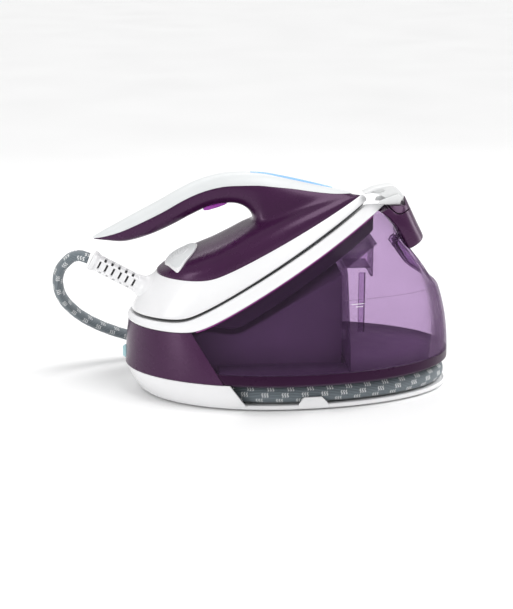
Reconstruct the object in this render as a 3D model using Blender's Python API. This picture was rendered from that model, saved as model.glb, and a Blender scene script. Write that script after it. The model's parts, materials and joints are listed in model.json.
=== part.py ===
"""A steam generator iron: an iron resting nose-up on a compact steam station.

Outlines are written in millimetres and scaled once, when a mesh is made. +X runs from the iron's heel
to its nose and to the front of the water tank, +Z is up, and the object is symmetric about y = 0 apart
from the hose and a few small parts. The origin is on the floor under the middle of the station.
"""

import math

import bmesh
import bpy
from mathutils import Vector

MM = 0.001
GAP = 0.4

# Driving dimensions of the station, in millimetres.
RING = 40
RIM_Z = 30.0
FRONT_X = 186.0
REAR_X = -150.0
HALF_WIDTH = 101.0
WIDEST_X = 8.0
SEAM_X = -52.0
SEAM_SLOPE = -0.635
WALL = 2.5
CORE_HALF = 58.0
CORE_FRONT = 68.0
CORE_REAR = -108.0
TANK_BACK = 71.0
TANK_FLOOR = 40.0
CEILING_FRONT = 104.0

# The tilted dock and the iron on it.
TILT = math.tan(math.radians(30.0))
DOCK_NOSE = 118.0
DOCK_REAR = -146.0
DOCK_HALF = 81.0
DOCK_WIDEST = -45.0
SOLE_NOSE = 98.0
SOLE_REAR = -142.5
SOLE_HALF = 66.5
SOLE_WIDEST = -50.0
WAIST_NOSE = 93.0
WAIST_REAR = -116.0
WAIST_HALF = 55.5
WAIST_WIDEST = -52.0

TRIGGER_AXIS = (-46.0, 0.0, 199.0)
LOCK_AXIS = (129.0, 0.0, 198.0)
KNOB_AXIS = (-134.0, 0.0, 39.0)
HOSE_RADIUS = 6.0
HOSE_Z = 15.5
BOILER_AXIS = (22.0, 0.0)
FEET = ((105, -52), (105, 52), (-80, -44), (-80, 44))


def mix(a, b, u):
    return a + (b - a) * u


def smooth_max(a, b, width):
    """The larger of a and b, with the corner between them rounded over about this width."""
    return (a + b + math.hypot(a - b, width)) / 2


def smooth_step(low, high, value):
    u = min(max((value - low) / (high - low), 0.0), 1.0)
    return u * u * (3 - 2 * u)


def dock_z(x):
    """Height of the dock's lower edge: level under the heel, then rising at the tilt."""
    return smooth_max(76.0, 189.8 + (x - DOCK_NOSE) * TILT, 8.0)


def sole_z(x):
    """Height of the joint between dock and iron."""
    return smooth_max(84.4, 192.0 + (x - SOLE_NOSE) * TILT, 7.0)


def waist_z(x):
    """Height of the line where the iron's white skirt meets its purple housing."""
    return smooth_max(123.5, 199.5 + (x - WAIST_NOSE) * 0.49, 7.0)


# Plan outlines. Each takes an angle, 0 at the nose, and gives x and y.


def egg(angle, front, rear, half, middle):
    reach = front - middle if math.cos(angle) > 0 else middle - rear
    return middle + reach * math.cos(angle), half * math.sin(angle)


def boat(angle, front, rear, half, middle):
    """An iron's outline: a round heel and straightening sides that run to a narrow nose."""
    c = math.cos(angle)
    if c <= 0:
        return egg(angle, front, rear, half, middle)
    y = half * (1 - c**1.9) ** 0.9
    return middle + (front - middle) * c, math.copysign(y, math.sin(angle))


def rim_xy(angle, inset=0.0):
    return egg(angle, FRONT_X - inset, REAR_X + inset, HALF_WIDTH - inset, WIDEST_X)


def dock_xy(angle, inset=0.0):
    return boat(angle, DOCK_NOSE - inset, DOCK_REAR + inset, DOCK_HALF - inset, DOCK_WIDEST)


def sole_xy(angle, inset=0.0):
    return boat(angle, SOLE_NOSE - 1.3 * inset, SOLE_REAR + inset, SOLE_HALF - inset, SOLE_WIDEST)


def waist_xy(angle, inset=0.0):
    return boat(angle, WAIST_NOSE - 1.5 * inset, WAIST_REAR + inset, WAIST_HALF - inset, WAIST_WIDEST)


def ring(outline, height, count=RING):
    """A closed ring of points. height is a number or a function of x."""
    points = []
    for i in range(count):
        x, y = outline(2 * math.pi * i / count)
        points.append((x, y, height(x) if callable(height) else height))
    return points


def between(ring_a, ring_b, u, out=0.0):
    """A ring part of the way from one to another, pushed outward from the z axis of the shape."""
    points = []
    for a, b in zip(ring_a, ring_b):
        x, y, z = (mix(p, q, u) for p, q in zip(a, b))
        length = math.hypot(x + 30, y) or 1.0
        points.append((x + out * (x + 30) / length, y + out * y / length, z))
    return points


# Meshes.


def material(name, color, roughness, metallic=0.0, alpha=1.0, transmission=0.0):
    made = bpy.data.materials.new(name)
    made.use_nodes = True
    shader = made.node_tree.nodes["Principled BSDF"]
    shader.inputs["Base Color"].default_value = (*color, 1.0)
    shader.inputs["Roughness"].default_value = roughness
    shader.inputs["Metallic"].default_value = metallic
    shader.inputs["Alpha"].default_value = alpha
    shader.inputs["Transmission Weight"].default_value = transmission
    return made


def solid(name, points, faces, finish, sharp=35.0):
    """One object from points in millimetres. Its normals are turned to face out."""
    mesh = bpy.data.meshes.new(name)
    mesh.from_pydata([Vector(p) * MM for p in points], [], faces)
    shape = bmesh.new()
    shape.from_mesh(mesh)
    bmesh.ops.remove_doubles(shape, verts=shape.verts, dist=1e-6)
    bmesh.ops.recalc_face_normals(shape, faces=shape.faces)
    shape.to_mesh(mesh)
    shape.free()
    mesh.materials.append(finish)
    mesh.shade_smooth()
    mesh.set_sharp_from_angle(angle=math.radians(sharp))
    made = bpy.data.objects.new(name, mesh)
    bpy.context.scene.collection.objects.link(made)
    return made


def stack(name, rings, finish, sharp=35.0):
    """A closed solid through rings that are mirror images of themselves in y, capped at both ends."""
    count = len(rings[0])
    points = [p for r in rings for p in r]
    faces = []
    for level in range(len(rings) - 1):
        low = level * count
        for i in range(count):
            j = (i + 1) % count
            faces.append((low + i, low + j, low + count + j, low + count + i))
    for low in (0, (len(rings) - 1) * count):
        for i in range(count // 2):
            corners = [low + i, low + i + 1, low + (count - i - 1) % count, low + (count - i) % count]
            faces.append(tuple(dict.fromkeys(corners)))
    return solid(name, points, faces, finish, sharp)


def plate(name, outer, inner, finish):
    """A wall between two open grids of the same size, one on each side of it."""
    rows = len(outer)
    columns = len(outer[0])
    size = rows * columns
    points = [p for row in outer for p in row] + [p for row in inner for p in row]
    faces = []
    for r in range(rows - 1):
        for c in range(columns - 1):
            a = r * columns + c
            quad = (a, a + 1, a + columns + 1, a + columns)
            faces.append(quad)
            faces.append(tuple(size + i for i in reversed(quad)))
    edge = [(0, c) for c in range(columns)]
    edge += [(r, columns - 1) for r in range(1, rows)]
    edge += [(rows - 1, c) for c in range(columns - 2, -1, -1)]
    edge += [(r, 0) for r in range(rows - 2, 0, -1)]
    loop = [r * columns + c for r, c in edge]
    for a, b in zip(loop, loop[1:] + loop[:1]):
        faces.append((a, b, size + b, size + a))
    return solid(name, points, faces, finish)


def prism(name, outline, low_y, high_y, finish, sharp=35.0):
    """An outline of x and z, drawn out along y."""
    count = len(outline)
    points = [(x, y, z) for y in (low_y, high_y) for x, z in outline]
    faces = [tuple(range(count)), tuple(range(count, 2 * count))]
    for i in range(count):
        j = (i + 1) % count
        faces.append((i, j, count + j, count + i))
    return solid(name, points, faces, finish, sharp)


def box(name, low, high, finish, bevel=0.0):
    outline = [(low[0], low[2]), (high[0], low[2]), (high[0], high[2]), (low[0], high[2])]
    made = prism(name, outline, low[1], high[1], finish)
    if bevel:
        rounding = made.modifiers.new("Rounding", "BEVEL")
        rounding.width = bevel * MM
        rounding.segments = 2
    return made


def turned(name, start, direction, profile, finish, sides=20):
    """A solid of revolution. The profile's pairs are distance along the axis and radius."""
    axis = Vector(direction).normalized()
    across = axis.cross(Vector((0, 0, 1)) if abs(axis.z) < 0.9 else Vector((0, 1, 0))).normalized()
    other = axis.cross(across)
    points = []
    for along, radius in profile:
        for i in range(sides):
            turn = 2 * math.pi * i / sides
            spoke = across * math.cos(turn) + other * math.sin(turn)
            points.append(Vector(start) + axis * along + spoke * radius)
    faces = [tuple(range(sides)), tuple(range((len(profile) - 1) * sides, len(profile) * sides))]
    for level in range(len(profile) - 1):
        low = level * sides
        for i in range(sides):
            j = (i + 1) % sides
            faces.append((low + i, low + j, low + sides + j, low + sides + i))
    return solid(name, points, faces, finish)


def smooth_points(through, count):
    """Points at equal spacing on one smooth curve through the given points."""
    fine = []
    last = len(through) - 1
    for i in range(last):
        p0, p1, p2, p3 = (Vector(through[min(max(i + k, 0), last)]) for k in (-1, 0, 1, 2))
        for step in range(24):
            u = step / 24
            fine.append(
                0.5 * (2 * p1 + (p2 - p0) * u + (2 * p0 - 5 * p1 + 4 * p2 - p3) * u**2
                       + (3 * p1 - p0 - 3 * p2 + p3) * u**3)
            )
    fine.append(Vector(through[-1]))
    lengths = [0.0]
    for a, b in zip(fine, fine[1:]):
        lengths.append(lengths[-1] + (b - a).length)
    points = []
    at = 0
    for i in range(count):
        wanted = lengths[-1] * i / (count - 1)
        while at < len(fine) - 2 and lengths[at + 1] < wanted:
            at += 1
        span = lengths[at + 1] - lengths[at]
        points.append(fine[at].lerp(fine[at + 1], (wanted - lengths[at]) / span))
    return points


def tube(name, points, radius, finish, resolution=2):
    """A round cord or pipe through points in millimetres."""
    curve = bpy.data.curves.new(name, "CURVE")
    curve.dimensions = "3D"
    curve.bevel_depth = radius * MM
    curve.bevel_resolution = resolution
    curve.use_fill_caps = True
    spline = curve.splines.new("POLY")
    spline.points.add(len(points) - 1)
    for knot, place in zip(spline.points, points):
        knot.co = (*(Vector(place) * MM), 1.0)
    curve.materials.append(finish)
    made = bpy.data.objects.new(name, curve)
    bpy.context.scene.collection.objects.link(made)
    return made


def boolean(target, tool, operation="DIFFERENCE"):
    """Cuts the tool from the target, or joins it on, and hides the tool."""
    tool.hide_render = True
    tool.display_type = "WIRE"
    step = target.modifiers.new(tool.name, "BOOLEAN")
    step.operation = operation
    step.object = tool
    return target


def turn_about(pieces, name, place):
    """Parents pieces to an empty on their joint's axis."""
    pivot = bpy.data.objects.new(name, None)
    pivot.location = Vector(place) * MM
    bpy.context.scene.collection.objects.link(pivot)
    for piece in pieces:
        piece.parent = pivot
        piece.location = -pivot.location
    return pivot


# The station's outer surface runs from the rim up to the dock's lower edge.


def skin(angle, v, inset=0.0):
    x0, y0 = rim_xy(angle, inset)
    x1, y1 = dock_xy(angle, inset)
    c = max(math.cos(angle), 0.0)
    lean = v ** (1.3 + 1.1 * c * c)
    z = mix(RIM_Z, dock_z(x1), v)
    return mix(x0, x1, lean), mix(y0, y1, lean), z


def seam_angle(v, inset, clear):
    """The angle at which the surface meets the slanted joint between tank and rear body."""
    low, high = 1.2, 3.0
    for _ in range(40):
        angle = (low + high) / 2
        x, _, z = skin(angle, v, inset)
        if x > SEAM_X + SEAM_SLOPE * (z - RIM_Z) + clear:
            low = angle
        else:
            high = angle
    return low


def half_width(x, z, inset):
    """Half the station's width inside its surface, at this x and z."""
    low, high = 0.0, math.pi
    for _ in range(40):
        angle = (low + high) / 2
        top = dock_z(dock_xy(angle, inset)[0])
        v = min(max((z - RIM_Z) / (top - RIM_Z), 0.0), 1.0)
        found = skin(angle, v, inset)
        if found[0] > x:
            low = angle
        else:
            high = angle
    return found[1]


def shoulder(point):
    """Draws the tank's front in above its shoulder, where fingers reach under the cap."""
    x, y, z = point
    depth = 21.0 * smooth_step(106.0, 134.0, z) * (1 - smooth_step(150.0, 162.0, z))
    depth *= 1 - smooth_step(10.0, 21.0, abs(y))
    return (x - depth * smooth_step(112.0, 140.0, x), y, z)


def make_rear_body(finish):
    rows = 7
    columns = 29
    grids = []
    for inset in (0.0, WALL):
        grid = []
        for r in range(rows):
            v = r / (rows - 1)
            start = seam_angle(v, inset, -GAP / 2)
            span = 2 * math.pi - 2 * start
            grid.append([skin(start + span * c / (columns - 1), v, inset) for c in range(columns)])
        grids.append(grid)
    body = plate("rear_body", *grids, finish)
    knob_hole = turned("knob_hole", (-160, 0, 39), (1, 0, 0), [(0, 7.7), (30, 7.7)], finish)
    button_hole = turned("button_hole", (-100, 110, 54), (0.35, -1, 0), [(0, 9), (60, 9)], finish)
    inlet_hole = box("inlet_hole", (-160, 28, 34), (-100, 46, 50), finish)
    for hole in (knob_hole, button_hole, inlet_hole):
        boolean(body, hole)
    return body


def make_tank_shell(finish):
    rows = 11
    columns = 51
    grids = []
    for inset in (0.0, WALL):
        grid = []
        for r in range(rows):
            row = []
            for c in range(columns):
                side = 2 * c / (columns - 1) - 1
                side *= 0.55 + 0.45 * abs(side)
                angle = side * seam_angle(r / (rows - 1), inset, GAP / 2)
                top = dock_z(dock_xy(angle, inset)[0])
                low = (TANK_FLOOR + GAP - RIM_Z) / (top - RIM_Z)
                v = mix(low, 1.0, r / (rows - 1))
                angle = side * seam_angle(v, inset, GAP / 2)
                row.append(shoulder(skin(angle, v, inset)))
            grid.append(row)
        grids.append(grid)
    shell = plate("tank_shell", *grids, finish)
    boolean(shell, cap_solid("cap_clearance", -0.5, finish))
    boolean(shell, box("front_notch", (107, -40, 176), (200, 40, 230), finish))
    return shell


def make_tank_base(finish):
    rings = []
    for z in (RIM_Z + GAP, 35.0, TANK_FLOOR):
        rings.append([skin_at(angle_of(i), z) for i in range(RING)])
    base = stack("tank_base", rings, finish)
    boolean(base, box("core_slot", (-170, -CORE_HALF - 3, 20), (TANK_BACK, CORE_HALF + 3, 60), finish))
    low, high = 10.0, 60.0
    edge = [(REAR_X - 50, low)]
    edge += [(SEAM_X + SEAM_SLOPE * (z - RIM_Z) + GAP, z) for z in (low, high)]
    edge += [(REAR_X - 50, high)]
    boolean(base, prism("seam_cut", edge, -130, 130, finish))
    return base


def angle_of(i):
    return 2 * math.pi * i / RING


def skin_at(angle, z, inset=0.0):
    top = dock_z(dock_xy(angle, inset)[0])
    x, y, _ = skin(angle, (z - RIM_Z) / (top - RIM_Z), inset)
    return (x, y, z)


def ceiling_z(x):
    return dock_z(x) - 24.0


def make_tank_inner(finish):
    """The tank's back wall and sloping ceiling, which close its front chamber under the dock."""
    steps = 6
    outline = []
    for step in range(steps + 1):
        outline.append((TANK_BACK, mix(TANK_FLOOR + GAP, ceiling_z(TANK_BACK), step / steps)))
    for step in range(1, steps):
        x = mix(TANK_BACK, CEILING_FRONT, step / (steps - 1))
        outline.append((x, ceiling_z(x)))
    grids = []
    for depth in (0.0, 2.2):
        grid = []
        for index, (x, z) in enumerate(outline):
            wall = index < steps
            px = x + (depth if wall else depth * 0.7)
            pz = z - (0.0 if wall else depth)
            half = half_width(px, pz, WALL + GAP) - 0.3
            grid.append([(px, half * (c / 4 - 1), pz) for c in range(9)])
        grids.append(grid)
    inner = plate("tank_inner", *grids, finish)
    boolean(inner, turned("outlet_hole", (60, 0, 52), (1, 0, 0), [(0, 6.4), (20, 6.4)], finish, 16))
    return inner


CAP_FOOT = (158.3, 156.0)
CAP_LEAN = (-0.44, 0.898)
CAP_TOP = 190.8
LIP_X = 136.7
CAP_SECTIONS = (
    # distance up the front, set back at the front, depth, half width
    (0.0, 1.5, 20.5, 21.0),
    (2.5, 0.0, 22.0, 23.0),
    (14.0, 0.0, 22.6, 25.0),
    (25.0, 0.0, 23.4, 26.0),
    (33.0, 0.0, 25.0, 25.5),
    (39.5, 0.0, 27.0, 24.0),
    (46.5, 0.0, 31.0, 19.0),
)
BUTTON_LINE = (
    (119.0, 192.5), (121.5, 188.9), (125.0, 186.0), (128.4, 184.6), (132.0, 184.6), (136.0, 186.0),
    (140.0, 187.3), (150.0, 188.5),
)


def cap_solid(name, inset, finish, drop=0.0):
    """The leaning cap, with its top cut level behind a low front lip."""
    rings = []
    for step, front, depth, half in CAP_SECTIONS:
        up = step if step else -drop
        section = []
        for i in range(24):
            back, y = egg(angle_of(i * RING / 24), -front - inset, inset - depth, half - inset, 3.0 - depth)
            x = CAP_FOOT[0] + CAP_LEAN[0] * up + CAP_LEAN[1] * back
            section.append((x, y, CAP_FOOT[1] + CAP_LEAN[1] * up - CAP_LEAN[0] * back))
        rings.append(section)
    cap = stack(name, rings, finish)
    lip = 230.0 if inset > 0 else LIP_X - inset
    return boolean(cap, box("level_top", (90, -40, CAP_TOP - inset), (lip, 40, 240), finish))


def button_cut(drop, finish):
    """What lies above the line between the cap and its release button."""
    outline = [(x - drop * 0.7 * (x < 122), z - drop) for x, z in BUTTON_LINE]
    return prism("button_cut", outline + [(150.0, 220.0), (outline[0][0], 220.0)], -40, 40, finish)


def make_tank_cap(finish):
    cap = cap_solid("tank_cap", 0.0, finish)
    boolean(cap, cap_solid("cap_hollow", 2.4, finish, 12.0))
    boolean(cap, button_cut(1.6, finish))
    return cap


def make_release_button(finish):
    """The saddle at the top of the cap, which a thumb presses down to free the tank."""
    button = cap_solid("release_button", 0.0, finish)
    boolean(button, cap_solid("button_hollow", 2.4, finish, 12.0))
    boolean(button, button_cut(0.0, finish), "INTERSECT")
    return turn_about([button], "release_button_axis", (130, 0, 188))


# The dock and what stands below it.


def make_platform(finish):
    """The white dock: an upside-down tray whose rim follows the iron's outline."""
    lower = ring(lambda a: dock_xy(a), lambda x: dock_z(x) + GAP)
    rim = ring(lambda a: sole_xy(a, -1.2), lambda x: sole_z(x) - 1.6)
    rings = [
        ring(lambda a: sole_xy(a, 4.0), lambda x: sole_z(x) - 4.8),
        between(ring(lambda a: dock_xy(a, 3.0), lambda x: dock_z(x) + GAP), rim, 0.6, -2.2),
        ring(lambda a: dock_xy(a, 2.6), lambda x: dock_z(x) + GAP),
        lower,
        between(lower, rim, 0.35, 1.6),
        between(lower, rim, 0.7, 1.8),
        rim,
        ring(lambda a: sole_xy(a, 1.4), lambda x: sole_z(x) - 1.9),
    ]
    return stack("platform", rings, finish)


def make_dock_frame(finish):
    """The dark frame under the dock, which carries it out over the tank."""
    def plan(inset):
        return lambda a: boat(a, 106.0 - inset, -136.0 + inset, 71.0 - inset, DOCK_WIDEST)

    def depth(x):
        return dock_z(x) - 20.0 * smooth_step(-75.0, -30.0, x) - 0.6

    rings = [
        ring(plan(2.6), lambda x: dock_z(x) - 3.0),
        ring(plan(2.6), lambda x: min(depth(x), dock_z(x) - 3.6)),
        ring(plan(0.0), lambda x: min(depth(x), dock_z(x) - 3.6)),
        ring(plan(0.0), lambda x: dock_z(x) - 0.3),
    ]
    return stack("dock_frame", rings, finish)


def make_core_housing(finish):
    """The box that holds the boiler and pump, between base deck and dock."""
    def roof(x, drop):
        return dock_z(x) - 21.5 * smooth_step(-75.0, -30.0, x) - drop

    steps = [mix(CORE_FRONT, CORE_REAR, i / 14) for i in range(15)]
    outer = [(CORE_REAR, 33.0), (CORE_FRONT, 33.0)] + [(x, roof(x, 8.5)) for x in steps]
    core = prism("core_housing", outer, -CORE_HALF, CORE_HALF, finish)
    inner_steps = [mix(CORE_FRONT - 2.2, CORE_REAR - 20, i / 14) for i in range(15)]
    inner = [(CORE_REAR - 20, 20.0), (CORE_FRONT - 2.2, 20.0)]
    inner += [(x, roof(x, 10.9)) for x in inner_steps]
    boolean(core, prism("core_hollow", inner, -CORE_HALF + 2.2, CORE_HALF - 2.2, finish))
    boolean(core, turned("coupling_hole", (50, 0, 52), (1, 0, 0), [(0, 6.2), (30, 6.2)], finish, 16))
    return core


def tray_edge(inset):
    return lambda a: egg(a, 185.0 - inset, -134.0 + inset, 90.0 - inset, 6.0)


def clip_tab(side, finish):
    """A tab on the tray's edge that keeps the hose in its channel."""
    grids = []
    for inset in (-0.3, 1.9):
        grid = []
        for z, low, high in ((3.0, 20.0, 54.0), (9.0, 23.0, 50.0), (14.5, 27.0, 45.0)):
            row = []
            for step in range(5):
                x = mix(low, high, step / 4)
                angle = math.acos((x - 6.0) / 179.0)
                row.append((x, side * tray_edge(inset)(angle)[1], z))
            grid.append(row)
        grids.append(grid)
    return plate("clip_tab_near" if side < 0 else "clip_tab_far", *grids, finish)


REAR_WALL = (
    # rear x, half width, middle x, height, end x
    (-135.5, 90.0, 6.0, 4.0, -29.0),
    (-143.0, 96.0, 7.0, 16.0, -37.5),
    (-149.7, 100.7, 8.0, 29.5, -46.5),
)


def rear_wall(inset):
    """One face of the closed rear wall, whose ends slant like the body's seam above them."""
    levels = []
    for rear, half, middle, z, end_x in REAR_WALL:
        start = math.acos((end_x - middle) / (middle - rear))
        level = []
        for step in range(17):
            angle = mix(start, 2 * math.pi - start, step / 16)
            level.append((*egg(angle, 185.0, rear + inset, half - inset, middle), z))
        levels.append(level)
    return levels


def make_base_tray(finish):
    """The white floor, its closed rear wall and the inner wall of the hose channel, in one moulding."""
    edge = ((3.0, 1.6), (0.6, 2.6), (0.0, 4.6), (1.0, 5.4))
    tray = stack("base_tray", [ring(tray_edge(inset), z) for inset, z in edge], finish)
    wall = plate("base_rear_wall", rear_wall(0.0), rear_wall(2.4), finish)
    boolean(tray, wall, "UNION")
    channel = [
        ring(lambda a: egg(a, 157.5 - inset, -104.0 + inset, 61.8 - inset, 6.0), z, 32)
        for inset, z in ((0.0, 4.0), (0.0, 26.6), (2.0, 26.6), (2.0, 4.0))
    ]
    boolean(tray, hoop("base_channel_wall", channel, finish), "UNION")
    for side in (-1, 1):
        boolean(tray, clip_tab(side, finish), "UNION")
    return tray


def hoop(name, rings, finish):
    """A closed band: the last ring joins the first again."""
    count = len(rings[0])
    points = [p for r in rings for p in r]
    faces = []
    for level in range(len(rings)):
        low = level * count
        high = (level + 1) % len(rings) * count
        for i in range(count):
            j = (i + 1) % count
            faces.append((low + i, low + j, high + j, high + i))
    return solid(name, points, faces, finish)


def make_base_deck(finish):
    """The dark deck over the hose channel. The tank slides on it."""
    rings = [ring(lambda a: rim_xy(a, inset), z) for inset, z in ((6.5, 27.2), (5.4, 28.2), (3.6, 29.9))]
    return stack("base_deck", rings, finish)


# The iron. Pairs are x and z in the plane of symmetry.

CROWN = (
    (-116.0, 126.0), (-107.0, 131.5), (-97.0, 138.5), (-78.0, 147.0), (-56.0, 156.0), (-40.0, 164.0),
    (-25.0, 172.0), (10.0, 186.0), (45.0, 196.0), (75.0, 200.6), (94.0, 200.9),
)

HANDLE = (
    # ridge x and z, underside x and z, half width at the ridge and at the underside, cover depth
    (-179.5, 160.6, -178.3, 158.3, 5.0, 5.0, 1.0),
    (-168.0, 167.0, -165.5, 156.8, 11.0, 10.0, 4.5),
    (-152.0, 175.6, -147.0, 155.8, 15.5, 14.0, 7.5),
    (-131.5, 186.6, -124.0, 161.6, 17.5, 16.0, 9.0),
    (-111.2, 197.3, -101.0, 171.4, 18.0, 16.5, 9.5),
    (-91.0, 208.6, -80.0, 182.4, 18.0, 16.5, 9.5),
    (-72.0, 217.3, -61.5, 190.6, 18.0, 16.5, 10.0),
    (-51.0, 223.0, -46.0, 193.4, 17.5, 17.0, 10.5),
    (-31.0, 224.6, -34.0, 193.0, 17.0, 18.0, 11.0),
    (-8.0, 223.5, -24.5, 188.5, 16.5, 20.0, 11.0),
    (10.0, 220.2, -18.5, 180.5, 15.5, 24.0, 10.5),
    (30.0, 215.8, -16.0, 171.5, 14.5, 29.0, 9.5),
    (50.0, 211.0, 2.0, 168.0, 12.5, 30.0, 8.0),
    (68.0, 206.5, 32.0, 176.0, 9.5, 24.0, 5.5),
    (82.0, 203.4, 62.0, 188.0, 6.0, 14.0, 2.0),
)
BULGE = 2.5


def along(table, x):
    for (x0, z0), (x1, z1) in zip(table, table[1:]):
        if x <= x1:
            return mix(z0, z1, max(0.0, (x - x0) / (x1 - x0)))
    return table[-1][1]


def arch(b, base, top, count=15):
    """Points of an arch over y, from one side to the other."""
    points = []
    for i in range(count):
        turn = math.pi * i / (count - 1)
        y = b * math.copysign(abs(math.cos(turn)) ** (2 / BULGE), math.cos(turn))
        points.append((y, base + (top - base) * math.sin(turn) ** (2 / BULGE)))
    return points


def crown_height(x, y):
    """Height of the housing's rounded top at a point of the plan."""
    low, high = 0.0, math.pi
    for _ in range(40):
        angle = (low + high) / 2
        if waist_xy(angle)[0] > x:
            low = angle
        else:
            high = angle
    b = waist_xy(angle)[1]
    share = max(0.0, 1 - (abs(y) / b) ** BULGE) ** (1 / BULGE)
    return mix(waist_z(x), along(CROWN, x), share)


def loft(name, sections, finish):
    """A solid through sections with equal numbers of points, closed by a flat face at each end."""
    count = len(sections[0])
    points = [p for section in sections for p in section]
    faces = [tuple(range(count)), tuple(range((len(sections) - 1) * count, len(sections) * count))]
    for level in range(len(sections) - 1):
        low = level * count
        for i in range(count):
            j = (i + 1) % count
            faces.append((low + i, low + j, low + count + j, low + count + i))
    return solid(name, points, faces, finish)


def crown_solid(name, inset, finish):
    sections = []
    for step in range(1, 25):
        x, b = waist_xy(math.pi * step / 25, inset)
        base = waist_z(x) + GAP - (20.0 if inset else 0.0)
        top = max(along(CROWN, x) - inset, waist_z(x) + 0.8)
        sections.append([(x, y, z) for y, z in arch(max(b, 0.6), base, top)])
    return loft(name, sections, finish)


def handle_arc(row, inset, low_share, count):
    """Part of one handle section: its lower side, or its upper side above the cover's edge."""
    rx, rz, ux, uz, ridge_half, under_half, depth = row
    ridge = Vector((rx, 0, rz))
    under = Vector((ux, 0, uz))
    middle = (ridge + under) / 2
    up = (ridge - under).normalized()
    reach = max((ridge - under).length / 2 - inset, 0.4)
    edge = (ridge - under).length / 2 - depth + (0.0 if low_share else 0.2)
    share = max(-0.98, min(0.98, edge / reach))
    start = math.asin(math.copysign(abs(share) ** (BULGE / 2), share))
    if low_share:
        turns = [mix(start, -math.pi - start, i / (count - 1)) for i in range(count)]
    else:
        turns = [mix(start, math.pi - start, i / (count - 1)) for i in range(count)]
    points = []
    for turn in turns:
        s = math.sin(turn)
        c = math.cos(turn)
        half = max(mix(ridge_half, under_half, (1 - s) / 2) - inset, 0.4)
        y = half * math.copysign(abs(c) ** (2 / BULGE), c)
        points.append(middle + up * reach * math.copysign(abs(s) ** (2 / BULGE), s) + Vector((0, y, 0)))
    return points


def handle_solid(name, inset, low_share, finish, rows=HANDLE, lift=0.0):
    sections = []
    for row in rows:
        arc = handle_arc(row, inset, low_share, 14 if low_share else 11)
        if lift:
            up = (Vector((row[0], 0, row[1])) - Vector((row[2], 0, row[3]))).normalized() * lift
            arc = [arc[0] + up] + arc + [arc[-1] + up]
        sections.append(arc)
    return loft(name, sections, finish)


def make_housing(finish):
    """The purple housing: a hollow crown over the sole and the handle's lower half in one piece."""
    housing = crown_solid("iron_housing", 0.0, finish)
    boolean(housing, handle_solid("handle_trough", 0.0, True, finish), "UNION")
    boolean(housing, crown_solid("crown_hollow", 2.2, finish))
    boolean(housing, handle_solid("handle_hollow", 2.2, True, finish, HANDLE[2:-2], 3.0))
    boolean(housing, box("trigger_slot", (-69.6, -7.7, 178), (-41.0, 7.7, 199), finish))
    boolean(housing, relief_cutter("housing_relief_hole", 10.2, finish))
    return housing


def make_handle_cover(finish):
    cover = handle_solid("handle_cover", 0.0, False, finish)
    hollow = handle_solid("cover_hollow", 2.0, False, finish, HANDLE[2:-3], -3.0)
    return boolean(cover, hollow)


def make_skirt(finish):
    outer = [
        ring(lambda a: sole_xy(a), lambda x: sole_z(x) + 1.5),
        ring(lambda a: waist_xy(a), lambda x: waist_z(x)),
    ]
    inner = [
        ring(lambda a: sole_xy(a, 2.2), lambda x: sole_z(x) + 1.5),
        ring(lambda a: waist_xy(a, 2.2), lambda x: waist_z(x)),
    ]
    rings = [outer[0], between(*outer, 0.3, 1.6), between(*outer, 0.65, 2.0), outer[1]]
    rings += [inner[1], between(*inner, 0.65, 2.0), between(*inner, 0.3, 1.6), inner[0]]
    skirt = hoop("iron_skirt", rings, finish)
    return boolean(skirt, relief_cutter("skirt_relief_hole", 9.9, finish))


RELIEF_END = (-181.9, 0.0, 136.4)
RELIEF_AXIS = (0.874, 0.0, -0.486)


def relief_cutter(name, radius, finish):
    return turned(name, RELIEF_END, RELIEF_AXIS, [(5.0, radius), (84.0, radius)], finish, 16)


def make_strain_relief(finish):
    profile = [(0.0, 8.4), (1.0, 9.3)]
    for rib in range(6):
        start = 4.0 + 7.2 * rib
        profile += [(start, 9.3), (start + 0.2, 8.0), (start + 2.2, 8.0), (start + 2.4, 9.3)]
    profile += [(50.0, 9.3), (62.0, 9.3)]
    return turned("strain_relief", RELIEF_END, RELIEF_AXIS, profile, finish, 16)


def sole_stack(name, front, rear, half, low, high, finish, edge=0.0):
    def plan(inset):
        return lambda a: boat(a, front - inset, rear + inset, half - inset, SOLE_WIDEST)

    rings = [
        ring(plan(edge), lambda x: sole_z(x) + low),
        ring(plan(0.0), lambda x: sole_z(x) + mix(low, high, 0.5)),
        ring(plan(0.0), lambda x: sole_z(x) + high),
    ]
    return stack(name, rings, finish)


PANEL = (
    # x, half width
    (-107.4, 5.0), (-104.0, 18.0), (-100.5, 29.5), (-96.0, 38.0), (-93.5, 39.0), (-90.5, 37.5),
    (-86.4, 31.8), (-80.0, 22.0), (-76.0, 11.0), (-74.5, 4.0),
)


def make_heel_panel(finish):
    """A shield that wraps over the iron's heel, from one side to the other."""
    columns = 11
    grids = []
    for height in (2.3, 1.2):
        grid = []
        for x, half in PANEL:
            row = []
            for c in range(columns):
                y = half * (2 * c / (columns - 1) - 1)
                row.append((x, y, crown_height(x, y) + height))
            grid.append(row)
        grids.append(grid)
    return plate("heel_panel", *grids, finish)


def make_light_strip(finish):
    ridge = [(row[0], row[1]) for row in HANDLE]
    outer = []
    inner = []
    for step in range(9):
        x = mix(-20.0, 63.0, step / 8)
        half = 4.2 * math.sin(math.pi * (0.12 + 0.76 * step / 8)) ** 0.4
        z = along(ridge, x)
        outer.append([(x, half * s, z + 1.2 - 0.3 * abs(s)) for s in (-1, -0.5, 0, 0.5, 1)])
        inner.append([(x, half * s, z + 0.45) for s in (-1, -0.5, 0, 0.5, 1)])
    return plate("light_strip", outer, inner, finish)


def pin(name, middle, half_length, radius, finish):
    """A pin across the object, or the bore for one."""
    start = (middle[0], middle[1] - half_length, middle[2])
    return turned(name, start, (0, 1, 0), [(0, radius), (2 * half_length, radius)], finish, 16)


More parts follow.
